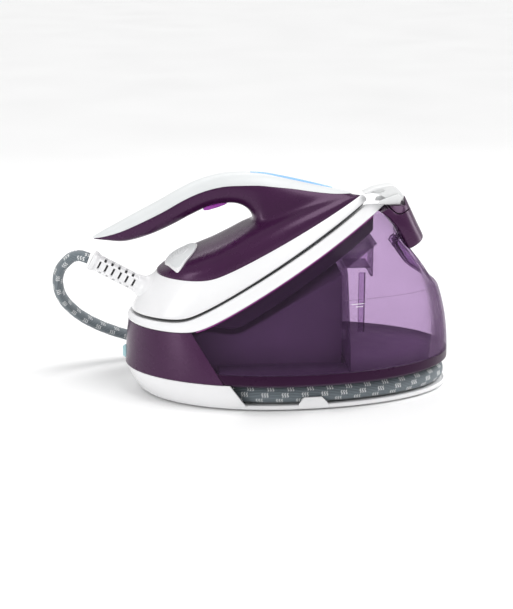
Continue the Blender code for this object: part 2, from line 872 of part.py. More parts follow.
def make_trigger(finish):
    outline = [
        (-68.4, 187.6), (-67.2, 184.6), (-63.0, 184.2), (-53.0, 187.6), (-46.0, 191.0), (-42.4, 194.4),
        (-42.2, 200.6), (-46.0, 202.2), (-56.0, 200.4), (-66.5, 197.0),
    ]
    trigger = prism("trigger", outline, -7.0, 7.0, finish)
    boolean(trigger, pin("trigger_bore", TRIGGER_AXIS, 12.0, 1.6, finish))
    return turn_about([trigger], "trigger_axis", TRIGGER_AXIS)


def coil(name, base, height, radius, turns, finish):
    """A small compression spring standing along z."""
    steps = turns * 10
    points = []
    for i in range(steps + 1):
        turn = 2 * math.pi * i / 10
        points.append((
            base[0] + radius * math.cos(turn), base[1] + radius * math.sin(turn),
            base[2] + height * i / steps,
        ))
    return tube(name, points, 0.4, finish, 0)


def make_carry_lock(finish):
    outline = [
        (94.6, 202.4), (105.0, 207.2), (115.0, 209.6), (122.5, 210.3), (126.5, 209.2), (131.5, 204.6),
        (135.4, 199.4), (134.0, 195.2), (130.0, 193.4), (124.5, 193.6), (119.0, 196.4), (112.0, 200.6),
        (103.0, 202.9), (96.0, 201.6),
    ]
    lever = prism("carry_lock", outline, -8.8, 8.8, finish)
    boolean(lever, pin("lock_bore", LOCK_AXIS, 15.0, 1.6, finish))
    return turn_about([lever], "carry_lock_axis", LOCK_AXIS)


def make_lock_bracket(finish):
    """Two ears on a foot that stands on the dock's nose, joined by the lever's pin."""
    ear = [
        (109.0, 191.6), (131.0, 191.2), (133.0, 198.0), (129.5, 202.0), (124.5, 200.5), (110.0, 195.2),
    ]
    bracket = prism("lock_bracket", ear, -12.0, -9.3, finish)
    boolean(bracket, prism("lock_ear_far", ear, 9.3, 12.0, finish), "UNION")
    boolean(bracket, pin("lock_pin", LOCK_AXIS, 10.5, 1.5, finish), "UNION")
    return bracket


# The hose lies on one smooth curve: out of the iron's heel, down behind the station, once round the
# front in the outer lane of the channel, round the back inside the base, and round the front again.

HOSE_LOOP = (
    (-184.6, 0.0, 137.9), (-187.8, 0.1, 139.1), (-193.5, 1.2, 140.6), (-201.5, 3.6, 138.6),
    (-209.0, 7.6, 131.8), (-214.8, 12.0, 123.5), (-218.0, 19.0, 111.5), (-217.8, 27.0, 98.5),
    (-214.5, 36.0, 86.0), (-207.5, 46.0, 73.5), (-196.0, 57.0, 60.0), (-180.0, 69.0, 47.0),
    (-160.0, 81.0, 35.0), (-136.0, 91.0, 25.0), (-110.0, 98.0, 18.5), (-82.0, 101.5, 15.7),
    (-52.0, 100.5, HOSE_Z), (-22.0, 94.0, HOSE_Z), (6.0, 84.5, HOSE_Z),
)
OUTER_LANE = (177.5, -60.0, 81.5, 6.0)
INNER_LANE = (164.9, -60.0, 69.0, 6.0)
HOSE_REAR = (
    (-24.0, -78.0), (-52.0, -67.0), (-80.0, -52.0), (-104.0, -30.0), (-114.0, 0.0), (-104.0, 30.0),
    (-80.0, 49.0), (-52.0, 61.0), (-24.0, 67.2),
)


def lane(plan, start, end, steps):
    """Points along a lane, between two angles in degrees."""
    return [(*egg(math.radians(mix(start, end, i / steps)), *plan), HOSE_Z) for i in range(steps + 1)]


def hose_route():
    route = list(HOSE_LOOP)
    route += lane(OUTER_LANE, 82, -90, 16)
    route += [(x, y, HOSE_Z) for x, y in HOSE_REAR]
    route += lane(INNER_LANE, 90, -74, 16)
    return route


def make_hose(finish):
    return tube("steam_hose", smooth_points(hose_route(), 76), HOSE_RADIUS, finish, 3)


def make_boiler(alloy, steel, black):
    x, y = BOILER_AXIS
    turned("boiler", (x, y, 38), (0, 0, 1), [(0, 26), (3, 31), (42, 31), (47, 27), (50, 12)], alloy, 28)
    turned("boiler_heater", (x, y, 31.5), (0, 0, 1), [(0, 24), (1, 26), (6, 26)], steel, 24)
    turned("boiler_thermostat", (x, y, 88.4), (0, 0, 1), [(0, 8), (4, 8), (4.5, 6)], black, 16)
    turned("safety_valve", (x, 31.4, 62), (0, 1, 0), [(0, 4), (3, 6), (10, 6), (12, 3)], steel, 16)


def make_water_circuit(black, grey, copper, rubber):
    """The pump, steam valve and pipes, which run from the tank's coupling to the hose."""
    pump = [(0, 5), (8, 5), (8.5, 13), (34, 13), (34.5, 6), (44, 6)]
    turned("water_pump", (-70, -26, 48), (1, 0, 0), pump, black, 20)
    valve = [(0, 9), (12, 9), (12.5, 6), (20, 6), (21, 4)]
    turned("steam_valve", (-40, 26, 36), (0, 0, 1), valve, copper, 16)
    water = [
        (60, -12, 46), (58, -24, 42), (46, -37, 40), (20, -44, 40), (-4, -38, 44), (-16, -26.5, 48),
        (-24.8, -26, 48),
    ]
    tube("water_pipe", smooth_points(water, 14), 2.4, grey)
    steam = [(-9.8, 6, 60), (-18, 9, 61), (-30, 17, 64), (-38, 24, 64), (-40, 26, 57.6)]
    tube("steam_pipe", smooth_points(steam, 9), 2.2, copper)
    turned("tank_coupling", (54, 0, 52), (1, 0, 0), [(0, 6), (1, 9.5), (8.5, 9.5)], rubber, 16)
    gland = [(0, 5.2), (1, 5.8), (15, 5.8), (16, 4.5)]
    turned("hose_gland", (49.4, -66.4, HOSE_Z), (-0.992, -0.124, 0), gland, grey, 16)


def make_controls(board, rubber, grey, mint):
    box("control_board", (-100, 50.5, 36), (-42, 52.1, 60), board)
    inlet = [(0, 6.4), (17, 6.4), (18, 7.4), (22, 7.4), (23, 6)]
    turned("mains_inlet", (-121, 37, 42), (-1, 0, 0), inlet, rubber, 16)
    turned("power_button", (-91.2, 84.9, 54), (0.33, -0.944, 0), [(0, 7.2), (1, 8.4), (16, 8.4)], grey)
    dial = [(0, 6.2), (10, 7), (15.8, 7), (17.2, 5.8)]
    knob = turned("descale_knob", KNOB_AXIS, (-1, 0, 0), dial, mint, 24)
    boolean(knob, box("knob_grip", (-152.6, -1.2, 33.6), (-149, 1.2, 44.4), mint), "UNION")
    turn_about([knob], "descale_knob_axis", KNOB_AXIS)


def make_tank_fittings(white, lavender):
    """The outlet valve in the tank's back wall, and the filling guide and tube behind its window."""
    valve = [(0, 3), (2, 5.4), (11, 5.4), (11.5, 5.8), (16, 5.8)]
    turned("tank_valve", (63, 0, 52), (1, 0, 0), valve, white, 16)
    tube("pickup_tube", [(99, 22, z) for z in (48, 80, 112)], 3.6, lavender)
    bracket = [
        (74.5, 124), (104, 124), (104, 115), (106.5, 115), (106.5, 146), (104, 146), (104, 130),
        (74.5, 130),
    ]
    prism("pickup_bracket", bracket, -4, 38, lavender)


def make_heating(sole, black, alloy, steel, rubber):
    sole_stack("soleplate", 95.5, -99.0, 63.0, -1.2, 0.5, sole, 0.8)
    sole_stack("heat_shield", 93.5, -139.0, 63.2, 0.85, 2.6, black)
    sole_stack("steam_chamber", 62.0, -92.0, 40.0, 3.0, 14.0, alloy, 1.5)
    sole_stack("chamber_cover", 40.0, -80.0, 26.0, 14.4, 16.0, steel)
    pipe = [(-122, 0, 104.5), (-108, 0, 105.2), (-95, 0, 107.4), (-82, 0, 111.6)]
    tube("inner_steam_pipe", smooth_points(pipe, 7), 3.0, rubber)


def make_materials():
    return {
        "white": material("gloss white plastic", (0.86, 0.86, 0.87), 0.22),
        "purple": material("aubergine plastic", (0.075, 0.012, 0.065), 0.25),
        "dark": material("dark purple plastic", (0.035, 0.010, 0.035), 0.4),
        "lavender": material("clear lavender plastic", (0.42, 0.27, 0.52), 0.06, 0.0, 0.45, 0.8),
        "grey": material("light grey plastic", (0.62, 0.65, 0.66), 0.45),
        "magenta": material("magenta plastic", (0.42, 0.03, 0.42), 0.3),
        "blue": material("light blue light guide", (0.35, 0.68, 0.92), 0.2),
        "black": material("black heat-proof plastic", (0.01, 0.01, 0.012), 0.5),
        "mint": material("pale green plastic", (0.55, 0.75, 0.76), 0.35),
        "rubber": material("grey rubber", (0.08, 0.08, 0.085), 0.8),
        "steel": material("steel", (0.6, 0.6, 0.62), 0.3, 1.0),
        "alloy": material("cast aluminium", (0.5, 0.5, 0.5), 0.5, 1.0),
        "sole": material("dark glazed soleplate", (0.02, 0.02, 0.03), 0.25, 0.6),
        "copper": material("copper", (0.7, 0.33, 0.2), 0.3, 1.0),
        "board": material("green circuit board", (0.02, 0.18, 0.07), 0.5),
        "woven": material("grey woven hose", (0.13, 0.16, 0.19), 0.9),
    }


def main():
    for old in list(bpy.data.objects):
        bpy.data.objects.remove(old)

    m = make_materials()

    make_base_tray(m["white"])
    make_base_deck(m["dark"])
    for number, (x, y) in enumerate(FEET, 1):
        turned(f"foot_{number}", (x, y, 0), (0, 0, 1), [(0, 8.0), (0.6, 9.0), (1.3, 9.0)], m["rubber"], 16)
    make_rear_body(m["purple"])
    make_dock_frame(m["dark"])
    make_platform(m["white"])
    make_core_housing(m["dark"])
    make_lock_bracket(m["grey"])
    make_carry_lock(m["grey"])
    coil("lock_spring", (119.5, 0.0, 191.9), 2.0, 1.6, 2, m["steel"])
    make_boiler(m["alloy"], m["steel"], m["black"])
    make_water_circuit(m["black"], m["grey"], m["copper"], m["rubber"])
    make_controls(m["board"], m["rubber"], m["grey"], m["mint"])

    make_tank_base(m["purple"])
    make_tank_shell(m["lavender"])
    make_tank_inner(m["lavender"])
    make_tank_cap(m["purple"])
    make_release_button(m["purple"])
    make_tank_fittings(m["white"], m["lavender"])

    make_skirt(m["white"])
    make_housing(m["purple"])
    make_handle_cover(m["grey"])
    make_light_strip(m["blue"])
    make_heel_panel(m["grey"])
    make_strain_relief(m["white"])
    make_heating(m["sole"], m["black"], m["alloy"], m["steel"], m["rubber"])
    make_trigger(m["magenta"])
    pin("trigger_pin", TRIGGER_AXIS, 8.4, 1.5, m["steel"])
    box("microswitch", (-66, -4, 204), (-54, 4, 210), m["black"])
    coil("trigger_spring", (-60.0, 0.0, 200.2), 2.6, 1.6, 2, m["steel"])
    make_hose(m["woven"])


main()
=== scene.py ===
"""The looks of the steam generator iron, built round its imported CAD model.

Outlines are in millimetres, in the model's own frame: +X from the iron's heel to its nose, +Z up. Visible
shells are made again here with finer sampling of the outlines that the CAD model was made from.
"""

import json
from math import acos, asin, copysign, cos, hypot, pi, radians, sin, tan

import bmesh
import bpy
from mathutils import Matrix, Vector
from mathutils.bvhtree import BVHTree


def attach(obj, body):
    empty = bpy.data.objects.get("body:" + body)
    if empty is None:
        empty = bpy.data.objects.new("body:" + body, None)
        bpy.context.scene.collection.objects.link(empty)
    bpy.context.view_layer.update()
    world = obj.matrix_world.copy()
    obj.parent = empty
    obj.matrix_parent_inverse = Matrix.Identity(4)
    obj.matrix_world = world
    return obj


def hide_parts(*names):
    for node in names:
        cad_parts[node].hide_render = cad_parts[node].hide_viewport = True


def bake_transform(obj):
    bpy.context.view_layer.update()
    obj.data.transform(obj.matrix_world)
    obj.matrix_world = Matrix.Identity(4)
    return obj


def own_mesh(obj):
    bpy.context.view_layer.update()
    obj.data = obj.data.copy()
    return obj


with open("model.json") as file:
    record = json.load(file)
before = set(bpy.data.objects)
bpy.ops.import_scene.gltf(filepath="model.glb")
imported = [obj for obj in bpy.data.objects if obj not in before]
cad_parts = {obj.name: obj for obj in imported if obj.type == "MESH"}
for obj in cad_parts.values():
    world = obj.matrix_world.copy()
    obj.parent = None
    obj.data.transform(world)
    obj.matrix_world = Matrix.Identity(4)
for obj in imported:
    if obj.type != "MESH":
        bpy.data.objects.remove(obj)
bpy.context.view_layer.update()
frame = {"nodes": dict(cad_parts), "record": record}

MM = 0.001
GAP = 0.4
RING = 160

RIM_Z = 30.0
FRONT_X = 186.0
REAR_X = -150.0
HALF_WIDTH = 101.0
WIDEST_X = 8.0
SEAM_X = -52.0
SEAM_SLOPE = -0.635
WALL = 2.5
TRAY_FRONT = 185.0
TRAY_REAR = -134.0
TRAY_HALF = 90.0
TRAY_WIDEST = 6.0
CHANNEL_FRONT = 157.5
CHANNEL_REAR = -104.0
CHANNEL_HALF = 61.8
CHANNEL_TOP = 26.6
CORE_HALF = 58.0
CORE_FRONT = 68.0
CORE_REAR = -108.0
TANK_BACK = 71.0
TANK_FLOOR = 40.0
CEILING_FRONT = 104.0
LEVEL_Z = 108.0
TILT = tan(radians(30.0))
DOCK_NOSE = 118.0
DOCK_REAR = -146.0
DOCK_HALF = 81.0
DOCK_WIDEST = -45.0
FRAME_NOSE = 106.0
FRAME_REAR = -136.0
FRAME_HALF = 71.0
SOLE_NOSE = 98.0
SOLE_REAR = -142.5
SOLE_HALF = 66.5
SOLE_WIDEST = -50.0
SOLE_NORMAL = (-0.5, 0.0, 0.866)
PLATE_FRONT = 95.5
PLATE_REAR = -99.0
PLATE_HALF = 63.0
SKIRT_RISE = 1.5
WAIST_NOSE = 93.0
WAIST_REAR = -116.0
WAIST_HALF = 55.5
WAIST_WIDEST = -52.0
MIDDLE_X = -30.0
HOSE_Z = 15.5
KNOB_Z = 39.0
VALVE_Z = 52.0
# The exponent of the iron's rounded sections, where 2 would make an ellipse.
BULGE = 2.5


def mix(a, b, u):
    return a + (b - a) * u


def spaced(low, high, count):
    return [mix(low, high, i / (count - 1)) for i in range(count)]


def smooth_max(a, b, width):
    return (a + b + hypot(a - b, width)) / 2


def smooth_step(low, high, value):
    u = min(max((value - low) / (high - low), 0.0), 1.0)
    return u * u * (3 - 2 * u)


def dock_z(x):
    return smooth_max(76.0, 189.8 + (x - DOCK_NOSE) * TILT, 8.0)


def sole_z(x):
    return smooth_max(84.4, 192.0 + (x - SOLE_NOSE) * TILT, 7.0)


def waist_z(x):
    return smooth_max(123.5, 199.5 + (x - WAIST_NOSE) * 0.49, 7.0)


def turning_point(low, high, before):
    """The value between low and high up to which before says yes."""
    for _ in range(30):
        middle = (low + high) / 2
        if before(middle):
            low = middle
        else:
            high = middle
    return middle


def egg(angle, front, rear, half, middle):
    reach = front - middle if cos(angle) > 0 else middle - rear
    return middle + reach * cos(angle), half * sin(angle)


def boat(angle, front, rear, half, middle):
    c = cos(angle)
    if c <= 0:
        return egg(angle, front, rear, half, middle)
    y = half * (1 - c**1.9) ** 0.9
    return middle + (front - middle) * c, copysign(y, sin(angle))


def rim_xy(angle, inset=0.0):
    return egg(angle, FRONT_X - inset, REAR_X + inset, HALF_WIDTH - inset, WIDEST_X)


def dock_xy(angle, inset=0.0):
    return boat(angle, DOCK_NOSE - inset, DOCK_REAR + inset, DOCK_HALF - inset, DOCK_WIDEST)


def sole_xy(angle, inset=0.0):
    return boat(angle, SOLE_NOSE - 1.3 * inset, SOLE_REAR + inset, SOLE_HALF - inset, SOLE_WIDEST)


def waist_xy(angle, inset=0.0):
    return boat(angle, WAIST_NOSE - 1.5 * inset, WAIST_REAR + inset, WAIST_HALF - inset, WAIST_WIDEST)


def tray_xy(angle, inset=0.0):
    return egg(angle, TRAY_FRONT - inset, TRAY_REAR + inset, TRAY_HALF - inset, TRAY_WIDEST)


def channel_xy(angle, inset=0.0):
    front, rear = CHANNEL_FRONT - inset, CHANNEL_REAR + inset
    return egg(angle, front, rear, CHANNEL_HALF - inset, TRAY_WIDEST)


def ring(outline, inset, height, rise=0.0, count=RING):
    """Points round an outline, at a height that is one number or follows x."""
    points = []
    for i in range(count):
        x, y = outline(2 * pi * i / count, inset)
        points.append((x, y, (height(x) if callable(height) else height) + rise))
    return points


def between(ring_a, ring_b, u, out=0.0):
    """A ring between two others, moved outward from a point on the middle line."""
    points = []
    for a, b in zip(ring_a, ring_b):
        x, y, z = (mix(p, q, u) for p, q in zip(a, b))
        length = hypot(x - MIDDLE_X, y) or 1.0
        points.append((x + out * (x - MIDDLE_X) / length, y + out * y / length, z))
    return points


# Meshes.


def added(name, data):
    """A new object in the scene, with this data."""
    made = bpy.data.objects.new(name, data)
    bpy.context.scene.collection.objects.link(made)
    return made


def shade(mesh, sharp):
    mesh.shade_smooth()
    mesh.set_sharp_from_angle(angle=radians(sharp))


def solid(name, points, faces, sharp=35.0):
    mesh = bpy.data.meshes.new(name)
    mesh.from_pydata([Vector(p) * MM for p in points], [], faces)
    shape = bmesh.new()
    shape.from_mesh(mesh)
    bmesh.ops.remove_doubles(shape, verts=shape.verts, dist=1e-6)
    bmesh.ops.recalc_face_normals(shape, faces=shape.faces)
    shape.to_mesh(mesh)
    shape.free()
    shade(mesh, sharp)
    return added(name, mesh)


def bands(count, levels, closed=False):
    faces = []
    for level in range(levels if closed else levels - 1):
        low = level * count
        high = (level + 1) % levels * count
        for i in range(count):
            j = (i + 1) % count
            faces.append((low + i, low + j, high + j, high + i))
    return faces


def stack(name, rings, sharp=35.0):
    """A closed solid through rings that are mirror images of themselves in y, capped at both ends."""
    count = len(rings[0])
    points = [p for r in rings for p in r]
    faces = bands(count, len(rings))
    for low in (0, (len(rings) - 1) * count):
        for i in range(count // 2):
            corners = [low + i, low + i + 1, low + (count - i - 1) % count, low + (count - i) % count]
            faces.append(tuple(dict.fromkeys(corners)))
    return solid(name, points, faces, sharp)


def hoop(name, rings):
    """A closed band: the last ring joins the first again."""
    points = [p for r in rings for p in r]
    return solid(name, points, bands(len(rings[0]), len(rings), True))


def loft(name, sections, sharp=35.0):
    """A solid through sections with equal numbers of points, closed by a face at each end."""
    count = len(sections[0])
    points = [p for section in sections for p in section]
    faces = [tuple(range(count)), tuple(range((len(sections) - 1) * count, len(sections) * count))]
    return solid(name, points, faces + bands(count, len(sections)), sharp)


def plate(name, outer, inner, sharp=35.0):
    """A wall between two open grids of the same size, one on each side of it."""
    rows = len(outer)
    columns = len(outer[0])
    size = rows * columns
    points = [p for row in outer for p in row] + [p for row in inner for p in row]
    faces = []
    for r in range(rows - 1):
        for c in range(columns - 1):
            a = r * columns + c
            quad = (a, a + 1, a + columns + 1, a + columns)
            faces.append(quad)
            faces.append(tuple(size + i for i in reversed(quad)))
    edge = [(0, c) for c in range(columns)]
    edge += [(r, columns - 1) for r in range(1, rows)]
    edge += [(rows - 1, c) for c in range(columns - 2, -1, -1)]
    edge += [(r, 0) for r in range(rows - 2, 0, -1)]
    loop = [r * columns + c for r, c in edge]
    for a, b in zip(loop, loop[1:] + loop[:1]):
        faces.append((a, b, size + b, size + a))
    return solid(name, points, faces, sharp)


def wall(name, row, steps, faces=(0, 1), sharp=35.0):
    """A plate whose two faces are grids: row(step, face) gives one row of points."""
    return plate(name, *([row(step, face) for step in steps] for face in faces), sharp)


def prism(name, outline, low_y, high_y, sharp=35.0):
    count = len(outline)
    points = [(x, y, z) for y in (low_y, high_y) for x, z in outline]
    faces = [tuple(range(count)), tuple(range(count, 2 * count))]
    return solid(name, points, faces + bands(count, 2), sharp)


def box(name, low, high):
    outline = [(low[0], low[2]), (high[0], low[2]), (high[0], high[2]), (low[0], high[2])]
    return prism(name, outline, low[1], high[1])


def across(axis):
    """A direction at a right angle to an axis."""
    return axis.cross(Vector((0, 0, 1)) if abs(axis.z) < 0.9 else Vector((0, 1, 0))).normalized()


def circle(count, a, b):
    """Steps round a circle, each with its turn and its place from the middle."""
    turns = [2 * pi * i / count for i in range(count)]
    return [(turn, a * cos(turn) + b * sin(turn)) for turn in turns]


def turned(name, start, direction, profile, sides=64, lobes=0, depth=0.0):
    """A solid of revolution. With lobes, its side has that many shallow flutes."""
    axis = Vector(direction).normalized()
    side = across(axis)
    points = []
    for along, radius in profile:
        for turn, spoke in circle(sides, side, axis.cross(side)):
            reach = radius - depth * (0.5 + 0.5 * cos(lobes * turn)) if lobes else radius
            points.append(Vector(start) + axis * along + spoke * reach)
    faces = [tuple(range(sides)), tuple(range((len(profile) - 1) * sides, len(profile) * sides))]
    return solid(name, points, faces + bands(sides, len(profile)))


def catmull(rows, u):
    """A row of numbers at u, from 0 at the first row to 1 at the last, on a smooth curve through the rows."""
    last = len(rows) - 1
    at = min(int(u * last), last - 1)
    t = u * last - at
    p0, p1, p2, p3 = (rows[min(max(at + k, 0), last)] for k in (-1, 0, 1, 2))
    return tuple(
        0.5 * (2 * b + (c - a) * t + (2 * a - 5 * b + 4 * c - d) * t * t + (3 * b - a - 3 * c + d) * t**3)
        for a, b, c, d in zip(p0, p1, p2, p3)
    )


def smooth_points(through, count):
    """Points at equal spacing on one smooth curve through the given points."""
    steps = 24 * (len(through) - 1)
    fine = [Vector(catmull(through, i / steps)) for i in range(steps + 1)]
    lengths = [0.0]
    for a, b in zip(fine, fine[1:]):
        lengths.append(lengths[-1] + (b - a).length)
    points = []
    at = 0
    for i in range(count):
        wanted = lengths[-1] * i / (count - 1)
        while at < len(fine) - 2 and lengths[at + 1] < wanted:
            at += 1
        span = lengths[at + 1] - lengths[at]
        points.append(fine[at].lerp(fine[at + 1], (wanted - lengths[at]) / span))
    return points


def thread(name, points, radius, sides=10):
    """A thin round bead or pipe through points, as a mesh."""
    places = [Vector(p) for p in points]
    rings = []
    for i, place in enumerate(places):
        ahead = (places[min(i + 1, len(places) - 1)] - places[max(i - 1, 0)]).normalized()
        side = across(ahead)
        rings.append([place + spoke * radius for _, spoke in circle(sides, side, side.cross(ahead))])
    return loft(name, rings)


def apply(target):
    """Turns an object's modifiers into its mesh."""
    graph = bpy.context.evaluated_depsgraph_get()
    mesh = bpy.data.meshes.new_from_object(target.evaluated_get(graph))
    target.modifiers.clear()
    old = target.data
    target.data = mesh
    bpy.data.meshes.remove(old)
    return target


def boolean(target, tool, operation="DIFFERENCE"):
    """Cuts the tool from the target, or joins it on, and removes the tool."""
    step = target.modifiers.new("Boolean", "BOOLEAN")
    step.operation = operation
    step.solver = "EXACT"
    step.object = tool
    apply(target)
    bpy.data.objects.remove(tool)
    return target


def bore(target, start, direction, low, high, radius, operation="DIFFERENCE"):
    """Cuts a round hole between two distances from a start, or joins a round pin on."""
    return boolean(target, turned("bore", start, direction, [(low, radius), (high, radius)]), operation)


def rounded(target, width, segments=3, angle=35.0):
    """Rounds an object's edges and applies it."""
    step = target.modifiers.new("Rounding", "BEVEL")
    step.width = width * MM
    step.segments = segments
    step.limit_method = "ANGLE"
    step.angle_limit = radians(angle)
    step.harden_normals = False
    apply(target)
    shade(target.data, 50)
    return target


def place(piece, finish, body, *nodes, slot=None):
    """Gives a piece its material, its body and the CAD nodes that it stands for. The slot is not used."""
    piece.data.materials.clear()
    piece.data.materials.append(finishes[finish])
    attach(piece, body)
    slot or finish
    if nodes:
        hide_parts(*nodes)
    return piece


# Materials.


class Shader:
    """A material's node tree, with short calls for the nodes used here."""

    def __init__(self, name):
        self.material = bpy.data.materials.new(name)
        self.material.use_nodes = True
        self.tree = self.material.node_tree
        self.shader = self.tree.nodes["Principled BSDF"]
        self.output = self.tree.nodes["Material Output"]

    def node(self, kind, **inputs):
        made = self.tree.nodes.new(kind)
        for key, value in inputs.items():
            self.feed(made.inputs[key.replace("_", " ")], value)
        return made

    def feed(self, socket, value):
        if isinstance(value, bpy.types.NodeSocket):
            self.tree.links.new(value, socket)
        else:
            socket.default_value = value

    def math(self, operation, a, b=0.0):
        made = self.tree.nodes.new("ShaderNodeMath")
        made.operation = operation
        self.feed(made.inputs[0], a)
        self.feed(made.inputs[1], b)
        return made.outputs[0]

    def times(self, a, b):
        return self.math("MULTIPLY", a, b)

    def plus(self, a, b):
        return self.math("ADD", a, b)

    def within(self, value, low, high):
        return self.times(self.math("GREATER_THAN", value, low), self.math("LESS_THAN", value, high))

    def noise(self, scale, detail=2.0, stretch=None):
        where = self.node("ShaderNodeTexCoord").outputs["Object"]
        if stretch:
            where = self.node("ShaderNodeMapping", Vector=where, Scale=stretch).outputs[0]
        made = self.node("ShaderNodeTexNoise", Vector=where, Scale=scale, Detail=detail)
        return made.outputs["Fac"]

    def ranged(self, value, low, high, to_low, to_high):
        made = self.tree.nodes.new("ShaderNodeMapRange")
        for socket, number in zip(made.inputs[:5], (value, low, high, to_low, to_high)):
            self.feed(socket, number)
        return made.outputs[0]

    def blend(self, share, a, b):
        made = self.tree.nodes.new("ShaderNodeMix")
        made.data_type = "RGBA"
        self.feed(made.inputs[0], share)
        self.feed(made.inputs[6], a)
        self.feed(made.inputs[7], b)
        return made.outputs[2]

    def bump(self, height, strength, distance):
        made = self.node("ShaderNodeBump", Height=height, Strength=strength, Distance=distance)
        return made.outputs[0]

    def set(self, **values):
        for key, value in values.items():
            self.feed(self.shader.inputs[key.replace("_", " ")], value)
        return self


def tone(color, factor):
    return (*(min(1.0, c * factor) for c in color), 1.0)


def plastic(name, color, roughness, grain=0.15, spread=0.06, specular=0.5, coat=0.0, gloss_tint=None):
    """Moulded plastic: faint flow marks in its colour, a fine skin, rubbed patches in its gloss."""
    s = Shader(name)
    flow = s.ranged(s.noise(22.0, 3.0), 0.35, 0.65, 0.0, 1.0)
    rub = s.noise(60.0, 5.0)
    skin = s.noise(2600.0, 2.0)
    wave = s.noise(150.0, 1.0)
    height = s.plus(s.times(skin, 0.6), s.times(wave, 0.4))
    s.set(
        Base_Color=s.blend(flow, tone(color, 1 - spread), tone(color, 1 + spread)),
        Roughness=s.ranged(rub, 0.3, 0.75, roughness * 0.85, roughness * 1.25),
        Normal=s.bump(height, grain, 0.00012),
        Specular_IOR_Level=specular,
        Coat_Weight=coat,
        Coat_Roughness=0.08,
    )
    if gloss_tint:
        s.shader.inputs["Specular Tint"].default_value = (*gloss_tint, 1.0)
    return s.material


def metal(name, color, roughness, stretch=(1.0, 12.0, 1.0)):
    s = Shader(name)
    brushed = s.noise(240.0, 3.0, stretch)
    cloud = s.noise(30.0, 3.0)
    s.set(
        Base_Color=s.blend(cloud, tone(color, 0.86), tone(color, 1.08)),
        Metallic=1.0,
        Roughness=s.ranged(brushed, 0.3, 0.7, roughness * 0.8, roughness * 1.3),
        Normal=s.bump(brushed, 0.2, 0.0001),
    )
    return s.material


def cast_metal(name, color):
    s = Shader(name)
    pits = s.noise(900.0, 4.0)
    s.set(
        Base_Color=s.blend(s.noise(45.0, 3.0), tone(color, 0.8), tone(color, 1.1)),
        Metallic=1.0,
        Roughness=s.ranged(pits, 0.3, 0.7, 0.42, 0.62),
        Normal=s.bump(pits, 0.5, 0.0002),
    )
    return s.material


def rubbery(name, color):
    s = Shader(name)
    grain = s.noise(1400.0, 3.0)
    s.set(
        Base_Color=s.blend(s.noise(70.0, 3.0), tone(color, 0.8), tone(color, 1.25)),
        Roughness=s.ranged(grain, 0.3, 0.7, 0.65, 0.85),
        Normal=s.bump(grain, 0.35, 0.00015),
    )
    return s.material


def clear_plastic(name, tint, gloss_tint):
    """A clear tinted wall: light passes straight through it, and its surface mirrors more at a slant."""
    s = Shader(name)
    flow = s.noise(14.0, 2.0, (1.0, 1.0, 3.0))
    clear = s.node("ShaderNodeBsdfTransparent", Color=s.blend(flow, tone(tint, 0.975), tone(tint, 1.015)))
    s.set(
        Base_Color=s.blend(flow, tone(gloss_tint, 0.92), tone(gloss_tint, 1.08)),
        Roughness=s.ranged(s.noise(45.0, 4.0), 0.3, 0.75, 0.05, 0.1),
        Normal=s.bump(s.noise(120.0, 1.0), 0.06, 0.0002),
    )
    slant = s.node("ShaderNodeLayerWeight", Blend=0.18).outputs["Fresnel"]
    share = s.ranged(slant, 0.0, 1.0, 0.05, 0.75)
    joined = s.node("ShaderNodeMixShader")
    s.feed(joined.inputs[0], share)
    s.feed(joined.inputs[1], clear.outputs[0])
    s.feed(joined.inputs[2], s.shader.outputs[0])
    s.feed(s.output.inputs["Surface"], joined.outputs[0])
    return s.material


def glowing(name, color, glow):
    s = Shader(name)
    cloud = s.noise(90.0, 2.0)
    s.set(
        Base_Color=s.blend(cloud, tone(color, 0.92), tone(color, 1.05)),
        Roughness=s.ranged(s.noise(300.0, 2.0), 0.3, 0.7, 0.15, 0.25),
        Emission_Color=(*color, 1.0),
        Emission_Strength=glow,
    )
    return s.material


def circuit(name):
    s = Shader(name)
    tracks = s.noise(420.0, 0.0, (1.0, 1.0, 4.0))
    track = s.ranged(tracks, 0.5, 0.53, 0.0, 1.0)
    s.set(
        Base_Color=s.blend(track, (0.01, 0.12, 0.05, 1), (0.04, 0.26, 0.1, 1)),
        Roughness=s.ranged(tracks, 0.4, 0.6, 0.3, 0.5),
    )
    return s.material


STROKE_PITCH = 0.0195
ROW_PITCH = 0.0062
ROW_SHIFT = 0.28
RIB_PITCH = 0.0016
YARN_PITCH = 0.0011


